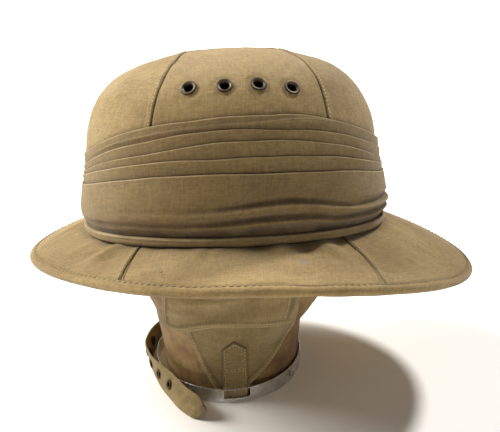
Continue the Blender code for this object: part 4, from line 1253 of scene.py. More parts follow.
def crown_panel(which):
    """One cloth panel of the crown, between two seams, from the brim to its tip.

    Its stand-off is a groove along the seams, a bell of the distance from them; a raised strip beside
    them on the front and back panels; a dimple round each eyelet; and a little slack.
    """
    tip = CROWN["run"][-1] if which in ("left", "right") else crown_run(TIP_LEVEL)
    run = np.linspace(crown_run(JOIN_Z + SEAM_GAP), tip, steps(tip - crown_run(JOIN_Z)))[:, None]
    front, back = seam_angle("front", run), seam_angle("back", run)
    low, high = {"front": (front, 2 * math.pi - front), "back": (-back, back),
                 "left": (-front, -back), "right": (back, front)}[which]
    width = float((high - low)[0, 0]) * CROWN["front"][0]
    angle = low + (high - low) * seam_spaced(width)
    height = np.interp(run, CROWN["run"], CROWN["height"])
    run = np.where(height < join_height(angle) + SEAM_GAP, crown_run(join_height(angle) + SEAM_GAP), run)
    even = crown_on(run, angle, 0.0)
    sides = {"front": (("front", -1), ("front", 1)), "back": (("back", -1), ("back", 1)),
             "left": (("front", -1), ("back", -1)), "right": (("front", 1), ("back", 1))}[which]
    seam = np.minimum(*(away_from(even, crown_seam(*side)[1]) for side in sides))
    vent = from_vents(even)
    lift = bell("crown groove", seam)
    if which in ("front", "back"):
        lift += strip_lift(seam)
        lift += bell("crown stitch dent", seam)
    lift += bell("eyelet dimple", vent)
    lift += slack("crown", even)
    # the crown is darker just above the pagri's top edge
    above_pagri = even[..., 2] - pagri_height(0, angle)
    # painted shade along the seam grooves
    soil_and_shade = bell("crown seam shade", seam) + bell("darker over the pagri", above_pagri)
    soil_and_shade += shade_and_stain("crown", angle) * (1 - smooth_share(even[..., 2], *CROWN_SHADE_TO))
    # painted shade in a ring round each eyelet
    soil_and_shade = np.clip(soil_and_shade + bell("vent eyelet shade", vent), 0, 1)
    outer = lean(crown_on(run, angle, lift))
    inner = lean(crown_on(run, angle, lift - CLOTH))
    name = f"crown_panel_{which}"
    panel = slab(f"drill_{name}", outer, inner, DRILL, keep=pierced(even), soil_and_shade=soil_and_shade)
    return use(panel, "khaki_drill", name)


def crown_stitches(which, side):
    """The stitch line beside one crown seam, on the front or back panel, from the pagri to the tip."""
    run, path, out = crown_seam(which, side)
    offset = -side * CROWN_STITCH["side"] if which == "front" else side * CROWN_STITCH["side"]
    line = beside(path, out, offset)
    angle = side * seam_angle(which, run)
    shown = (path[:, 2] > pagri_height(0, angle)) & (run < crown_run(TIP_LEVEL) - STITCH_END)
    row = stitches(f"stitches_crown_{which}_{'right' if side > 0 else 'left'}",
                   lean(line[shown]), turn_only(out[shown]), CROWN_STITCH, THREAD)
    return use(row, "khaki_drill")


def turn_only(vectors):
    """Directions of the level helmet, leaned with it."""
    return lean(vectors) - lean(np.zeros(3))


def brim_seam(line):
    """A seam of the brim from the crown to the edge, and the brim's upward way along it."""
    share = np.linspace(0.0, 1.0, SEAM_STEPS)
    angle = np.radians(line[0] + (line[1] - line[0]) * share)
    return brim_at(share, angle, 0.0), edge_frame(angle)[2]


def brim_forms(share, angle):
    """Soft forms of the brim's cloth: a bell round each fold's angle and place along the brim."""
    lift = np.zeros(np.broadcast(share, angle).shape)
    turn = np.degrees(angle)
    for row in BRIM_FOLDS:
        fold = dict(zip(BRIM_FOLD_COLUMNS, row))
        away = (turn - fold["angle"] + 180) % 360 - 180
        lift += fold["rise"] * hump(away, 0.0, fold["spread"]) * hump(share, fold["share"], fold["reach"])
    return lift


def brim_cover(which, low_seam, high_seam):
    """One piece of the cloth on the brim, between two seams, tucked under the binding at its edge."""
    low_seam, high_seam = np.array(low_seam), np.array(high_seam)
    width = math.radians(high_seam[1] - low_seam[1]) * BRIM_SIDE
    share = np.linspace(1.0, 0.0, steps(BRIM_BACK - CROWN["back"][0]))[:, None]
    low = low_seam[0] + (low_seam[1] - low_seam[0]) * share
    high = high_seam[0] + (high_seam[1] - high_seam[0]) * share
    angle = np.radians(low + (high - low) * seam_spaced(width))
    share = share * (1 - (BINDING_WIDTH - BINDING_TUCK) / brim_width(angle))
    even = brim_at(share, angle, 0.0)
    seam = np.minimum(away_from(even, brim_seam(low_seam)[0]), away_from(even, brim_seam(high_seam)[0]))
    lift = bell("brim groove", seam)
    if which in ("front", "back"):
        lift += strip_lift(seam)
    from_crown = share * brim_width(angle)
    to_binding = brim_width(angle) - BINDING_WIDTH
    before, past = SINK_PLACE
    under_binding = smooth_share(from_crown, to_binding - before, to_binding + past)
    lift += (brim_forms(share, angle) + slack("brim", even)) * (1 - under_binding)
    lift -= SINK_DEPTH * under_binding
    # painted shade along the seam grooves, beside the roll and where the cloth sinks under the binding's lip
    soil_and_shade = bell("brim seam shade", seam) + bell("brim shade at the roll", from_crown)
    soil_and_shade = np.clip(soil_and_shade + bell("brim shade at the binding", from_crown - to_binding), 0, 1)
    name = f"brim_cover_{which}"
    cover = slab(f"drill_{name}", lean(brim_at(share, angle, lift)),
                 lean(brim_at(share, angle, lift - BRIM_COVER)), DRILL, soil_and_shade=soil_and_shade)
    return use(cover, "khaki_drill", name)


def brim_stitches(which, line):
    """The stitch line beside one brim seam, on the front or back piece."""
    path, up = brim_seam(line)
    sign = -1 if which == "front" else 1
    offset = sign * math.copysign(CROWN_STITCH["side"], line[0])
    width = brim_width(np.radians(line[0]))
    shown = slice(int(SEAM_STEPS * ROLL_COVERS), int(SEAM_STEPS * (1 - BINDING_WIDTH / width)))
    row = stitches(f"stitches_brim_{which}_{'right' if line[0] > 0 else 'left'}",
                   lean(beside(path, up, -offset)[shown]), turn_only(up[shown]), CROWN_STITCH, THREAD)
    return use(row, "khaki_drill")


def brim_binding():
    """The bound edge: a half round with flat tops, whose turned edge stands up over the brim's cloth.

    The round's depth is the edge's half thickness less its cosine, its height goes with its sine.
    """
    half = EDGE_THICK / 2
    turn = np.radians(np.linspace(90, -90, BINDING_AROUND))
    flat = np.linspace(BINDING_WIDTH, half * 1.15, BINDING_FLAT)
    level = np.full(BINDING_FLAT, half)
    depth = np.concatenate([flat, half * (1 - np.cos(turn)), flat[::-1]])
    height = np.concatenate([level, half * np.sin(turn), -level])
    lip = BINDING_LIP * smooth_share(depth, *(BINDING_WIDTH - place for place in LIP_PLACE))
    height = height + np.sign(height) * lip
    depth = np.concatenate([depth, BRIM_COVER + depth[::-1] * (1 - BRIM_COVER / BINDING_WIDTH)])[:, None]
    height = np.concatenate([height, height[::-1] * (half - BRIM_COVER) / half])[:, None]
    angle = round_angles(BRIM_ROUND)
    edge = edge_point(angle, 0.0, 0.0)
    beat = np.cos(2 * math.pi * run_along(edge) / BRIM_STITCH["pitch"])
    dent = bell("binding stitch dent", depth) * (np.abs(height) > half * 0.9) * (1 + 0.6 * beat)
    rise = np.sign(height) * (dent + slack("binding", edge) * (np.abs(height) > 0.5 * half))
    points = edge_point(angle[None, :], depth + 0 * angle, height + rise)
    # painted shade under the binding's turned lip; the binding is also darker on its underside and unevenly
    # soiled along its outer edge
    soil_and_shade = bell("binding edge shade", depth) + 0.3 * (height < -0.4 * half)
    soil_and_shade = soil_and_shade + 0.12 * (1 + uneven(edge, 0.02, 8)) * hump(height, 0.0, half * 0.6)
    binding = ring("drill_brim_binding", lean(points), DRILL, soil_and_shade=np.clip(soil_and_shade, 0, 1))
    return use(binding, "khaki_drill", "brim_binding")


def edge_stitches(name, level):
    """The stitch line round the brim's edge, on its top or its underside."""
    angle = np.linspace(0, 2 * math.pi, 2 * BRIM_ROUND)
    height = level * (EDGE_THICK / 2 + BINDING_LIP * 0.4)
    path = edge_point(angle, np.full_like(angle, BRIM_STITCH["side"]), np.full_like(angle, height))
    row = stitches(name, lean(path), turn_only(edge_frame(angle)[2] * level), BRIM_STITCH, PIPED)
    return use(row, "khaki_drill")


def pagri_lines(angle):
    """Heights of the pagri's fold edges at the angles, with the small wander of hand-laid cloth."""
    even = crown_at(pagri_height(2, angle), angle, 0.0)
    reach = WANDER_AT_ENDS + (1 - WANDER_AT_ENDS) * np.sin(angle) ** 2
    return [pagri_height(line, angle) + PLEAT_WANDER * uneven(even, 0.045, 20 + line) * reach
            for line in range(len(PAGRI))]


def soft_ridge(angle, share):
    """The soft ridge in the first turn: a bell about a line down the turn, which rises towards its end."""
    turn = signed_degrees(angle)
    line = SOFT_RIDGE["share"] + SOFT_RIDGE["slope"] * np.clip(turn - SOFT_RIDGE["angle"], 0, None)
    shown = smooth_share(turn, *SOFT_RIDGE_FROM) * (1 - smooth_share(turn, *SOFT_RIDGE_TO))
    return SOFT_RIDGE["rise"] * hump(share, line, SOFT_RIDGE["half"]) * shown


def pagri_pleats():
    """The crisp pleats: each turn's upper edge is a fold that stands out from the turn above it.

    A turn's stand-off is its start, one build per turn, the fold's edge and then the face down to the
    next edge; the last turn runs on under the wrap.
    """
    angle = round_angles(ROUND)
    lines = pagri_lines(angle)
    even = crown_at(lines[2], angle, 0.0)
    face = np.array(PLEAT_FACE)
    rows, soil_and_shade = [], []
    # FOLD_EDGE and PLEAT_FACE also give painted shade in the crevice above each fold's edge and a painted
    # highlight on the edge
    for turn, (top, foot) in enumerate(zip(lines[:-1], lines[1:])):
        start = PLEAT_START + PLEAT_BUILD * turn + 0.00012 * uneven(even, 0.05, 30 + turn)
        for down, off, shade_and_tarnish in FOLD_EDGE:
            rows.append(crown_at(top - down, angle, start + off))
            soil_and_shade.append(shade_and_tarnish)
        for share in np.linspace(face[0, 0], 1.0, PLEAT_TALL):
            off, shade_and_tarnish = (np.interp(share, face[:, 0], face[:, i]) for i in (1, 2))
            ridge = soft_ridge(angle, share) if turn == 0 else 0.0
            rows.append(crown_at(top + (foot - top) * share, angle, start + off + ridge))
            soil_and_shade.append(shade_and_tarnish)
    hem = lines[-1] - PLEAT_LAP
    rows.append(crown_at(hem, angle, start + face[-1, 1]))
    for share in np.linspace(0, 1, 8):
        rows.append(crown_at(hem * (1 - share) + lines[0] * share, angle, PAGRI_GAP))
    soil_and_shade += [HIDDEN_SHADE] * (len(rows) - len(soil_and_shade))
    soil_and_shade = np.array(soil_and_shade)[:, None] + shade_and_stain("pagri", angle)
    pleats = ring("cotton_pagri_pleats", lean(np.array(rows)), PAGRI_DRILL, soil_and_shade=soil_and_shade)
    return use(pleats, "pagri_cloth", "pagri_pleats")


def fold_at(rows, angle):
    """Height and strength of one of the wrap's soft folds at an angle, the same on both sides."""
    fold = table(rows, FOLD_COLUMNS)
    turn = -np.abs(signed_degrees(angle))
    return [np.interp(turn, fold["angle"], fold[name]) for name in FOLD_COLUMNS[1:]]


def pagri_wrap():
    """The wide soft turn: a fold edge over the pleats, and an outline that sinks to the roll.

    Two soft folds swell on it. Each is a bell about its crest, steep above and slow below, with a
    hollow above it, where the cloth over it turns in. Shade is painted into each hollow and towards
    the wrap's foot, and a highlight along each crest.
    """
    angle = round_angles(ROUND)
    low = join_height(angle) + 2 * ROLL_VERTICAL + SEAM_GAP
    high = pagri_lines(angle)[-1]
    edge = [crown_at(high - down, angle, WRAP_TOP + off) for down, off, _ in FOLD_EDGE]
    share = np.linspace(1, 0, WRAP_TALL)[:, None]
    height = low + (high - 2 * FOLD_EDGE[-1][0] - low) * share
    even = crown_at(height, angle, 0.0)
    lift = np.interp(share, *np.array(WRAP_OUTLINE).T) + 0.0 * angle
    # painted shade towards the wrap's foot above the roll
    soil_and_shade = bell("wrap foot shade", share) + WRAP_FOOT_SHADE * (1 - share) + shade_and_stain("pagri", angle)
    for rows in WRAP_FOLDS:
        crest, strength = fold_at(rows, angle)
        below = crest - height
        swell = hump(below, 0.0, np.where(below < 0, FOLD_ABOVE, FOLD_BELOW))
        lift = lift + strength * FOLD_RISE * swell
        lift = lift - strength * bell("wrap hollow", below)
        # painted shade in each fold's hollow and a painted highlight along its crest
        soil_and_shade = soil_and_shade + strength * bell("wrap hollow shade", below)
        soil_and_shade = soil_and_shade - strength * bell("wrap crest highlight", below)
    lift = np.maximum(lift + slack("wrap", even) * np.sqrt(1 - share), WRAP_LEAST)
    back_share = np.linspace(0, 1, 5)[:, None]
    under_pleats = high - PLEAT_LAP - WRAP_TURN["under"]
    turned_in = crown_at(under_pleats + WRAP_TURN["over"], angle, WRAP_TOP - WRAP_TURN["in"])
    back = np.vstack([crown_at(low + (under_pleats - low) * back_share, angle, PAGRI_GAP), turned_in[None]])
    points = np.vstack([edge, crown_at(height, angle, lift), back])
    # the wrap's own fold edge takes the same painted shade and highlight as the pleats'
    edge_shade = np.repeat([[shade_and_tarnish] for _, _, shade_and_tarnish in FOLD_EDGE], ROUND, 1)
    soil_and_shade = np.vstack([edge_shade, np.clip(soil_and_shade, -1, 1), np.full((len(back), ROUND), WRAP_BACK_SHADE)])
    wrap = ring("cotton_pagri_wrap", lean(points), PAGRI_DRILL, soil_and_shade=soil_and_shade)
    return use(wrap, "pagri_cloth", "pagri_wrap")


def pagri_roll():
    """The rolled turn on the brim: a flattened oval with a crease, thinner at the front and back."""
    angle = round_angles(ROUND)
    turn = round_angles(ROLL_AROUND)[:, None]
    level, outwards = np.sin(turn), np.cos(turn)
    height = join_height(angle) + ROLL_VERTICAL
    even = crown_at(height, angle, 0.0)
    size = ROLL_ENDS + (1 - ROLL_ENDS) * smooth_share(np.sin(angle) ** 2, 0.0, 0.35)
    size = size + 0.05 * uneven(even, 0.03, 11)
    up = np.sign(level) * np.abs(level) ** 0.8
    out = np.sign(outwards) * np.abs(outwards) ** 0.7
    creased = hump(signed_degrees(angle), ROLL_CREASE["angle"], ROLL_CREASE["spread"])
    from_crease = level + 0.1 * uneven(even, 0.05, 12)
    crease = ROLL_CREASE["depth"] * hump(from_crease, ROLL_CREASE["place"], ROLL_CREASE["width"])
    crease = crease * (outwards > 0) * creased
    lift = ROLL_OUT + (ROLL_RADIAL * out - crease) * size
    points = crown_at(height + ROLL_VERTICAL * up * size, angle, lift)
    # painted shade under the roll, in its crease and on its inner half against the crown, and a painted
    # highlight on its top
    soil_and_shade = bell("roll shade below", level) - bell("roll highlight on top", level)
    soil_and_shade = soil_and_shade + ROLL_BACK_SHADE * (outwards < 0) + bell("roll crease shade", level) * creased
    roll = ring("cotton_pagri_roll", lean(points), PAGRI_DRILL, soil_and_shade=np.clip(soil_and_shade, -1, 1) + 0.0 * angle)
    return use(roll, "pagri_cloth", "pagri_roll")


def pith_crown():
    """The pith's crown: a shell of even thickness inside the cloth, pierced for the eyelets."""
    low = crown_run(JOIN_Z - BRIM_DEPTH / 2)
    run = np.linspace(low, CROWN["run"][-1], TALL)[:, None]
    angle = round_angles(STAND_ROUND)
    outside = -CLOTH - 2 * LAYER_GAP
    outer = crown_on(run, angle, outside)
    inner = crown_on(run, angle, outside - PITH)
    keep = pierced(np.concatenate([outer, outer[:, :1]], 1))
    return use(slab("pith_crown", lean(outer), lean(inner), BARE_PITH, keep=keep, wrap=True),
               "pith", "pith_body")


def pith_brim():
    """The pith's brim: a ring from the crown out to the binding, thinner towards the edge."""
    angle = round_angles(PITH_ROUND)
    share = np.linspace(0.0, 1.0, 26)[:, None]
    share_out = share * (1 - (BINDING_WIDTH + 0.0005) / brim_width(angle))
    top = brim_at(share_out, angle, np.full(share_out.shape, -BRIM_COVER - 2 * LAYER_GAP))
    depth = -(BRIM_DEPTH * (1 - share_out) + (EDGE_THICK - 0.0001) * share_out)
    under = brim_at(share_out, angle, depth + slack("pith", top))
    level = EDGE_THICK / 2 - 1.6 * BRIM_COVER
    outline = ((BINDING_WIDTH * 0.6, level), (2.2 * BRIM_COVER, 0.0), (BINDING_WIDTH * 0.6, -level))
    edge = [edge_point(angle[None, :], *place) for place in outline]
    height = join_height(angle)
    heights = np.array([height - BRIM_DEPTH, height - BRIM_DEPTH / 2, height - 2 * BRIM_COVER])
    inside = crown_at(heights, angle, -CLOTH - 2 * LAYER_GAP - PITH)
    rings = np.vstack([top, *edge, under[::-1], inside])
    return use(ring("pith_brim", lean(rings), BARE_PITH), "pith", "pith_body")


def helmet_pieces():
    """Every piece of the helmet itself."""
    panels = {which: crown_panel(which) for which in ("front", "back", "left", "right")}
    front, back = BRIM_FRONT_SEAM, BRIM_BACK_SEAM
    covers = {
        "left": brim_cover("left", [-a for a in front], [-a for a in back]),
        "right": brim_cover("right", back, front),
        "front": brim_cover("front", front, [360 - a for a in front]),
        "back": brim_cover("back", [-a for a in back], back),
    }
    crown_rows = {which: [crown_stitches(which, side) for side in (-1, 1)] for which in ("front", "back")}
    brim_rows = {which: [brim_stitches(which, [side * a for a in line]) for side in (-1, 1)]
                 for which, line in (("front", front), ("back", back))}
    binding = brim_binding()
    edge_rows = [edge_stitches("stitches_edge_top", 1), edge_stitches("stitches_edge_under", -1)]
    pith_crown()
    pith_brim()
    pagri_pleats()
    pagri_wrap()
    pagri_roll()
    for number, (point, axis) in enumerate(zip(*vent_frames()), 1):
        name = f"vent_eyelet_{number}"
        eyelet = turned(f"brass_{name}", VENT_PROFILE, lean(point), turn_only(axis), VENT_METAL)
        use(eyelet, "eyelet_brass", name)


# The neck sleeve and what is on it

def neck_sleeve():
    """The leather sleeve: an open tube with soft dents and a rubbed, rounded foot."""
    angle = round_angles(STAND_ROUND)
    height = np.linspace(SLEEVE_ROWS[0][0], SLEEVE_ROWS[-1][0], TALL)[:, None]
    even = sleeve_at(height, angle, 0.0)
    dents = sum(rise * uneven(even * [1, 1, tall], size, seed) for rise, size, tall, seed in SLEEVE_DENTS)
    dents = np.minimum(dents, SLEEVE_SWELL) * smooth_share(height, 0.0, 0.010)
    foot = bell("sleeve foot", height)
    outer = sleeve_at(height, angle, dents + foot)
    inner = sleeve_at(height[::-1], angle, dents[::-1] - foot[::-1] - SLEEVE_WALL)
    sleeve = ring("leather_neck_sleeve", np.vstack([outer, inner]), LEATHER)
    return use(sleeve, "brown_leather", "neck_sleeve")


def flap_forms(x, height):
    """Soft folds of a flap: a bell along and up from each fold's middle."""
    lift = np.zeros(np.broadcast(x, height).shape)
    for fold_x, fold_height, length, tall, rise in FLAP_FOLDS:
        slope = height - fold_height - 0.15 * (x - fold_x)
        lift += rise * hump(x, fold_x, length) * hump(slope, 0.0, tall)
    return lift


def flap(name, side, x, height, off):
    """One cloth flap on the sleeve, with a hem along its free edges, its piping and its stitches."""
    even = on_sleeve(x, height, side, off + FLAP)
    loop = np.vstack([even[:, 0], even[-1], even[::-1, -1]])
    border = away_from(even, loop)
    forms = flap_forms(x, height) * smooth_share(border, 0.0, 0.006)
    lift = forms + slack("flap", even)
    lift = lift + HEM_RISE * (1 - smooth_share(border, HEM * 0.9, HEM))
    lift = lift - bell("flap stitch dent", border)
    # painted shade in the hem's step; the flap is also darker towards its top, paler along its very edge,
    # and unevenly soiled
    soil_and_shade = bell("flap hem shade", border) + 0.3 * smooth_share(height, 0.080, 0.100)
    soil_and_shade = soil_and_shade - 0.4 * (1 - smooth_share(border, 0.0008, HEM * 0.8)) + 0.15 * uneven(even, 0.022, 23)
    # painted highlight on the folds' rises and painted shade in their hollows
    soil_and_shade = soil_and_shade - FOLD_SHADING * forms
    outer = on_sleeve(x, height, side, off + FLAP + lift)
    inner = on_sleeve(x, height, side, off + 0.0 * lift)
    cloth = slab(f"drill_{name}", outer, inner, FLAP_DRILL, soil_and_shade=np.clip(soil_and_shade, -1, 1))
    piece = use(cloth, "khaki_drill", name)
    edge_x, edge_height = (np.concatenate([grid[:, 0], grid[-1], grid[::-1, -1]]) for grid in (x, height))
    edge = even_path(on_sleeve(edge_x, edge_height, side, off + FLAP * 0.6))
    piping = use(tube(f"piping_{name}", edge, PIPING, PIPED), "khaki_drill")
    inset = max(2, round(FLAP_STITCH["side"] / np.linalg.norm(even[5, 1] - even[5, 0])))
    rows_in = max(2, round(FLAP_STITCH["side"] / np.linalg.norm(even[-1, 5] - even[-2, 5])))
    line = np.vstack([outer[:-rows_in, inset], outer[-rows_in, inset:-inset],
                      outer[:-rows_in, -inset][::-1]])
    middle = on_sleeve(0.5 * (x[:1, :1] + x[:1, -1:]), height[:1, :1], side, -0.05)[0, 0]
    out = unit((line - middle) * [0.3, 1.0, 0.0])
    row = use(stitches(f"stitches_{name}", line, out, FLAP_STITCH, THREAD), "khaki_drill")
    return piece, [piping, row]


def upper_flap(name, side):
    """The upper flap, from under the brim to its curved lower edge."""
    across, down = UPPER_FLAP_GRID
    low_x, low_height, top_x = table_at(UPPER_FLAP_EDGE, UPPER_FLAP_COLUMNS, across)
    share = np.linspace(0, 1, down)[:, None]
    x = low_x * share + top_x * (1 - share)
    height = low_height * share + FLAP_TOP * (1 - share)
    return flap(name, side, x, height, UPPER_FLAP_OFF)


def lower_flap(name, side):
    """The lower flap, tapering to a blunt point behind the tab."""
    down, across = LOWER_FLAP_GRID
    height, front, back = table_at(LOWER_FLAP_ROWS, LOWER_FLAP_COLUMNS, down)[..., None]
    x = front + (back - front) * np.linspace(0, 1, across)
    return flap(name, side, x, height + 0.0 * x, LOWER_FLAP_OFF)


def flap_tab(name, side):
    """The pointed tab with a stitched border and two stitch lines across it."""
    outline = np.array(TAB_OUTLINE)
    height = np.concatenate([np.linspace(*part) for part in TAB_HEIGHTS])[:, None]
    width = np.interp(height, outline[:, 0], outline[:, 1]) * TAB_WIDTH
    off = np.interp(height, outline[:, 0], outline[:, 2])
    x = TAB_MIDDLE + np.linspace(-0.5, 0.5, TAB_ACROSS) * width
    even = on_sleeve(x, height, side, off + FLAP)
    loop = np.vstack([even[:, 0], even[::-1, -1]])
    border = away_from(even, loop)
    lift = bell("tab edge", border) - bell("tab stitch dent", border)
    lift = lift + slack("tab", even)
    # painted shade along the tab's edge and its stitch line; lower down the tab is painted lighter where it
    # shows in the band's window
    soil_and_shade = bell("tab edge shade", border) + bell("tab stitch shade", border)
    soil_and_shade = np.clip(soil_and_shade - TAB_WINDOW_LIGHT["soil_and_shade"] * (1 - smooth_share(height, *TAB_WINDOW_LIGHT["heights"])), -1, 1)
    outer = on_sleeve(x, height, side, off + FLAP + lift)
    tab = slab(f"drill_{name}", outer, on_sleeve(x, height, side, off), FLAP_DRILL, soil_and_shade=soil_and_shade)
    use(tab, "khaki_drill", name)
    inset = TAB_WIDTH / 2 - TAB_STITCH_IN
    border_x = np.array([-inset, -inset, 0.0, inset, inset]) + TAB_MIDDLE
    rows = [tab_line(f"stitches_{name}", side, border_x, np.array(TAB_STITCH_HEIGHTS))]
    for number, level in enumerate(TAB_CROSS_LINES, 1):
        rows.append(tab_line(f"stitches_{name}_{number}", side, TAB_MIDDLE + np.array([-inset, inset]),
                             np.full(2, level)))
    return tab, rows


def tab_line(name, side, x, height):
    """A stitch line on the tab through the given points."""
    x, height = resampled(np.stack([x, height], -1), LINE_STEPS * (len(x) - 1) + 1).T
    off = np.interp(height, *np.array(TAB_OUTLINE)[:, (0, 2)].T)
    path = on_sleeve(x, height, side, off + FLAP)
    out = unit(on_sleeve(x, height, side, off + FLAP + NUDGE) - path)
    line = even_path(path)
    return use(stitches(name, line, resampled(out, len(line)), FLAP_STITCH, THREAD), "khaki_drill")


def band_at(angle, height, lift):
    """A point of the metal band's outer face, moved out by lift."""
    return np.stack(np.broadcast_arrays(BAND_X + (BAND_LENGTH + lift) * np.cos(angle),
                                        (BAND_WIDTH + lift) * np.sin(angle), height), -1)


def neck_band():
    """The metal band: a flat strip on edge, whose cells inside the two windows are left out."""
    ends = np.array([WINDOW_X - WINDOW_LENGTH / 2, WINDOW_X + WINDOW_LENGTH / 2])
    turns = np.arccos((ends - BAND_X) / BAND_LENGTH)
    window_turns = np.concatenate([turns, 2 * math.pi - turns])
    angle = round_angles(BAND_ROUND)
    angle = angle[np.min(np.abs(angle[:, None] - window_turns), 1) > 0.008]
    angle = np.sort(np.concatenate([angle, window_turns]))
    low, high = WINDOW_Z - WINDOW_HEIGHT / 2, WINDOW_Z + WINDOW_HEIGHT / 2
    height = np.concatenate([BAND_LINES, np.linspace(low, high, 6), [BAND_HEIGHT]])[:, None]
    between = 0.5 * (angle + np.roll(angle, -1) + (angle > np.roll(angle, -1)) * 2 * math.pi)
    across = BAND_X + BAND_LENGTH * np.cos(between)
    level = 0.5 * (height[1:] + height[:-1])
    inside = (across > ends[0]) & (across < ends[1]) & (level > low) & (level < high)
    even = band_at(angle, height, 0.0)
    past_end = np.clip(np.abs(even[..., 0] - WINDOW_X) - WINDOW_LENGTH / 2, 0, None)
    past_window = np.hypot(past_end, np.clip(np.abs(height - WINDOW_Z) - WINDOW_HEIGHT / 2, 0, None))
    dents = slack("band", even) + bell("window rim", past_window)
    soil_and_shade = 0.25 + 0.25 * uneven(even, 0.012, 19) - bell("window rim rub", past_window)
    outer, inner = band_at(angle, height, dents), band_at(angle, height, dents - BAND_THICK)
    band = slab("aluminium_neck_band", outer, inner, ALUMINIUM, keep=~inside, wrap=True,
                soil_and_shade=np.clip(soil_and_shade, 0, 1))
    rounded = band.modifiers.new("rounded edges", "BEVEL")
    rounded.width = BAND_ROUNDING
    rounded.segments = 2
    rounded.limit_method = "ANGLE"
    rounded.angle_limit = math.radians(50)
    return use(band, "band_aluminium", "neck_band")


def band_rivets():
    """Round-headed rivets on the outside of the band; one also holds the strap's fixed end."""
    spots = [(side, angle) for side in (-1, 1) for angle in RIVETS]
    for number, (side, angle) in enumerate(spots, 1):
        turn = side * math.radians(angle)
        through_strap = min(STRAP_ON_BAND) < side * angle < max(STRAP_ON_BAND)
        lift = LAYER_GAP + STRAP_THICK + SEAM_GAP if through_strap else SEAM_GAP
        point = band_at(turn, BAND_HEIGHT / 2, lift)
        axis = band_at(turn, BAND_HEIGHT / 2, lift + NUDGE) - point
        name = f"band_rivet_{number}"
        use(turned(f"aluminium_{name}", RIVET_PROFILE, point, axis, ALUMINIUM), "band_aluminium", name)


def strap_line():
    """The strap's foot as closely spaced points, with the distance along it at each one."""
    start = band_at(np.radians(STRAP_ON_BAND), 0.0, LAYER_GAP + STRAP_THICK / 2)
    curve = table([*start[:, :2], *STRAP_ROUTE], ("x", "y"))
    route = np.stack([curve["x"], curve["y"]], -1)
    return run_along(route), route


def strap_frame(distance):
    """Foot of the strap at distances along it, the way it faces, and the way up its width."""
    along, route = strap_line()
    foot, ahead, behind = (read_off(distance + shift, along, route) for shift in (0.0, NUDGE, -NUDGE))
    run = unit(ahead - behind)
    flat = np.zeros_like(run[..., 0])
    inwards = np.stack([-run[..., 1], run[..., 0], flat], -1)
    twist = table(STRAP_TWIST_ROWS, STRAP_TWIST_COLUMNS)
    turn = np.radians(np.interp(distance, twist["distance"], twist["outwards"]))[..., None]
    upright = np.array([0.0, 0.0, 1.0])
    up = upright * np.cos(turn) - inwards * np.sin(turn)
    face = inwards * np.cos(turn) + upright * np.sin(turn)
    lifted = STRAP_THICK / 2 * np.abs(np.sin(turn)) * upright
    return np.concatenate([foot, flat[..., None]], -1) + lifted, face, up


def neck_strap():
    """The strap: its cross-section rounds off at both edges, and its free end is a blunt point.

    The half height near the end is one less the square of the way into the end, to a power.
    """
    length = strap_line()[0][-1]
    distance = np.linspace(0, length, round(length / STRAP_CELL))
    foot, face, up = strap_frame(distance)
    into_end = 1 - np.minimum((length - distance) / STRAP_TIP, 1.0)
    tall = np.minimum(1.0, (1 - into_end**2) ** STRAP_POINT + STRAP_BLUNT)
    across = np.sin(np.linspace(-math.pi / 2, math.pi / 2, STRAP_ACROSS))[:, None]
    middle = foot + up * STRAP_HEIGHT / 2
    even = middle + up * (across * tall * STRAP_HEIGHT / 2)[..., None]
    thick = STRAP_THICK / 2 * np.sqrt(1 - 0.9 * np.abs(across) ** 7) + 0.0 * distance
    bow = slack("strap", even)
    spots = middle_of(STRAP_EYELETS)
    middles = cell_middles(even)
    clear = np.min(np.linalg.norm(middles[..., None, :] - spots[0], axis=-1), -1) > STRAP_CUT
    near = np.min(np.linalg.norm(even[..., None, :] - spots[0], axis=-1), -1)
    blotches = 0.22 * (1 + 1.2 * uneven(even, 0.010, 22)) * (1 - np.abs(across) ** 3)
    soil_and_shade = np.clip(bell("strap eyelet grime", near) + blotches, 0, 1)
    outer = even + face * (thick + bow)[..., None]
    inner = even - face * (thick - bow)[..., None]
    strap = slab("webbing_neck_strap", outer, inner, STRAP_CLOTH, keep=clear, soil_and_shade=soil_and_shade)
    use(strap, "strap_webbing", "neck_strap")
    far_face = [(radius, -height, shade_and_tarnish) for radius, height, shade_and_tarnish in EYELET_FACE[::-1]]
    inside, outside = EYELET_BARREL
    barrel = [(outside, -EYELET_FACE[0][1], 1.0), (outside, EYELET_FACE[0][1], 1.0)]
    profile = [*EYELET_FACE, (inside, 0.0, 1.0), *far_face, *barrel]
    for number, (point, axis) in enumerate(zip(*spots), 1):
        name = f"strap_eyelet_{number}"
        use(turned(f"brass_{name}", profile, point, axis, STRAP_METAL), "eyelet_brass", name)
    return strap


def middle_of(distances):
    """Middle of the strap's width at distances along it, and the way it faces there."""
    foot, face, up = strap_frame(np.array(distances))
    return foot + up * STRAP_HEIGHT / 2, face


def stand_pieces():
    """Every piece of the stand under the helmet."""
    neck_sleeve()
    for name, side in (("left", -1), ("right", 1)):
        upper, upper_trim = upper_flap(f"side_flap_upper_{name}", side)
        lower, lower_trim = lower_flap(f"side_flap_lower_{name}", side)
        tab, tab_trim = flap_tab(f"flap_tab_{name}", side)
    neck_band()
    band_rivets()
    neck_strap()


# Floor, light and camera

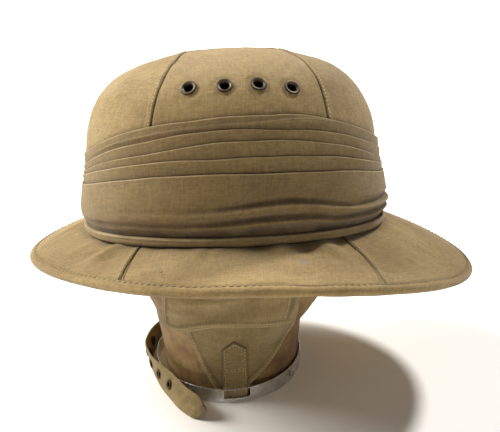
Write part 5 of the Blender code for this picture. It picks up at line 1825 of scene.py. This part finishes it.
CAMERA_PLACE = (-0.01836, -0.50732, 0.2969)
CAMERA_TURN = math.radians(-2.02)
CAMERA_DOWN = math.radians(19.26)
CAMERA_ROLL = math.radians(-1.57)
CAMERA_LENS = 50.98
LIGHTS = (                  # name, direction it comes from, strength, how wide it looks in degrees
    ("light_back", (0.44, 0.47, 0.765), 3.9, 7.0),
    ("light_left", (-0.74, 0.27, 0.62), 6.9, 36.0),
)
LIGHT_COLOUR = (1.0, 0.98, 0.95)
SKY = (1.0, 0.98, 0.95)
SKY_STRENGTH = 0.20
FLOOR_REACH = 14.0


def floor():
    """A plain, nearly white floor."""
    finish, tree, shader = new_material("pale_floor", Roughness=0.8)
    shade = noise(tree, object_place(tree), 6.0, 3.0)
    colour = mixed(tree, shade, (0.82, 0.81, 0.79, 1), (0.86, 0.85, 0.83, 1))
    tree.links.new(colour, shader.inputs["Base Color"])
    mesh = bpy.data.meshes.new("floor")
    corners = [(x * FLOOR_REACH, y * FLOOR_REACH, 0) for x, y in ((-1, -1), (1, -1), (1, 1), (-1, 1))]
    mesh.from_pydata(corners, [], [(0, 1, 2, 3)])
    mesh.materials.append(finish)
    ground = bpy.data.objects.new("floor", mesh)
    bpy.context.scene.collection.objects.link(ground)


def lights():
    """Two far, soft lamps, one above and behind to the right, a wide one to the left, and a pale sky."""
    for name, direction, strength, width in LIGHTS:
        lamp = bpy.data.lights.new(name, "SUN")
        lamp.angle = math.radians(width)
        lamp.energy = strength
        lamp.color = LIGHT_COLOUR
        holder = bpy.data.objects.new(name, lamp)
        holder.location = direction
        holder.rotation_euler = Vector(direction).to_track_quat("Z", "Y").to_euler()
        bpy.context.scene.collection.objects.link(holder)
    world = bpy.data.worlds.new("studio")
    world.use_nodes = True
    sky = world.node_tree.nodes["Background"]
    sky.inputs["Color"].default_value = (*SKY, 1.0)
    sky.inputs["Strength"].default_value = SKY_STRENGTH
    bpy.context.scene.world = world
    bpy.context.scene.view_settings.view_transform = "Standard"


def camera():
    """The camera at the photograph's viewing angle."""
    eye = bpy.data.cameras.new("camera")
    eye.lens = CAMERA_LENS
    eye.sensor_width = 36.0
    eye.sensor_fit = "HORIZONTAL"
    eye.clip_start = 0.01
    holder = bpy.data.objects.new("camera", eye)
    holder.matrix_world = (Matrix.Translation(CAMERA_PLACE) @ Matrix.Rotation(CAMERA_TURN, 4, "Z")
                           @ Matrix.Rotation(math.pi / 2 - CAMERA_DOWN, 4, "X")
                           @ Matrix.Rotation(CAMERA_ROLL, 4, "Z"))
    bpy.context.scene.collection.objects.link(holder)
    bpy.context.scene.camera = holder


camera()
helmet_pieces()
stand_pieces()
floor()
lights()
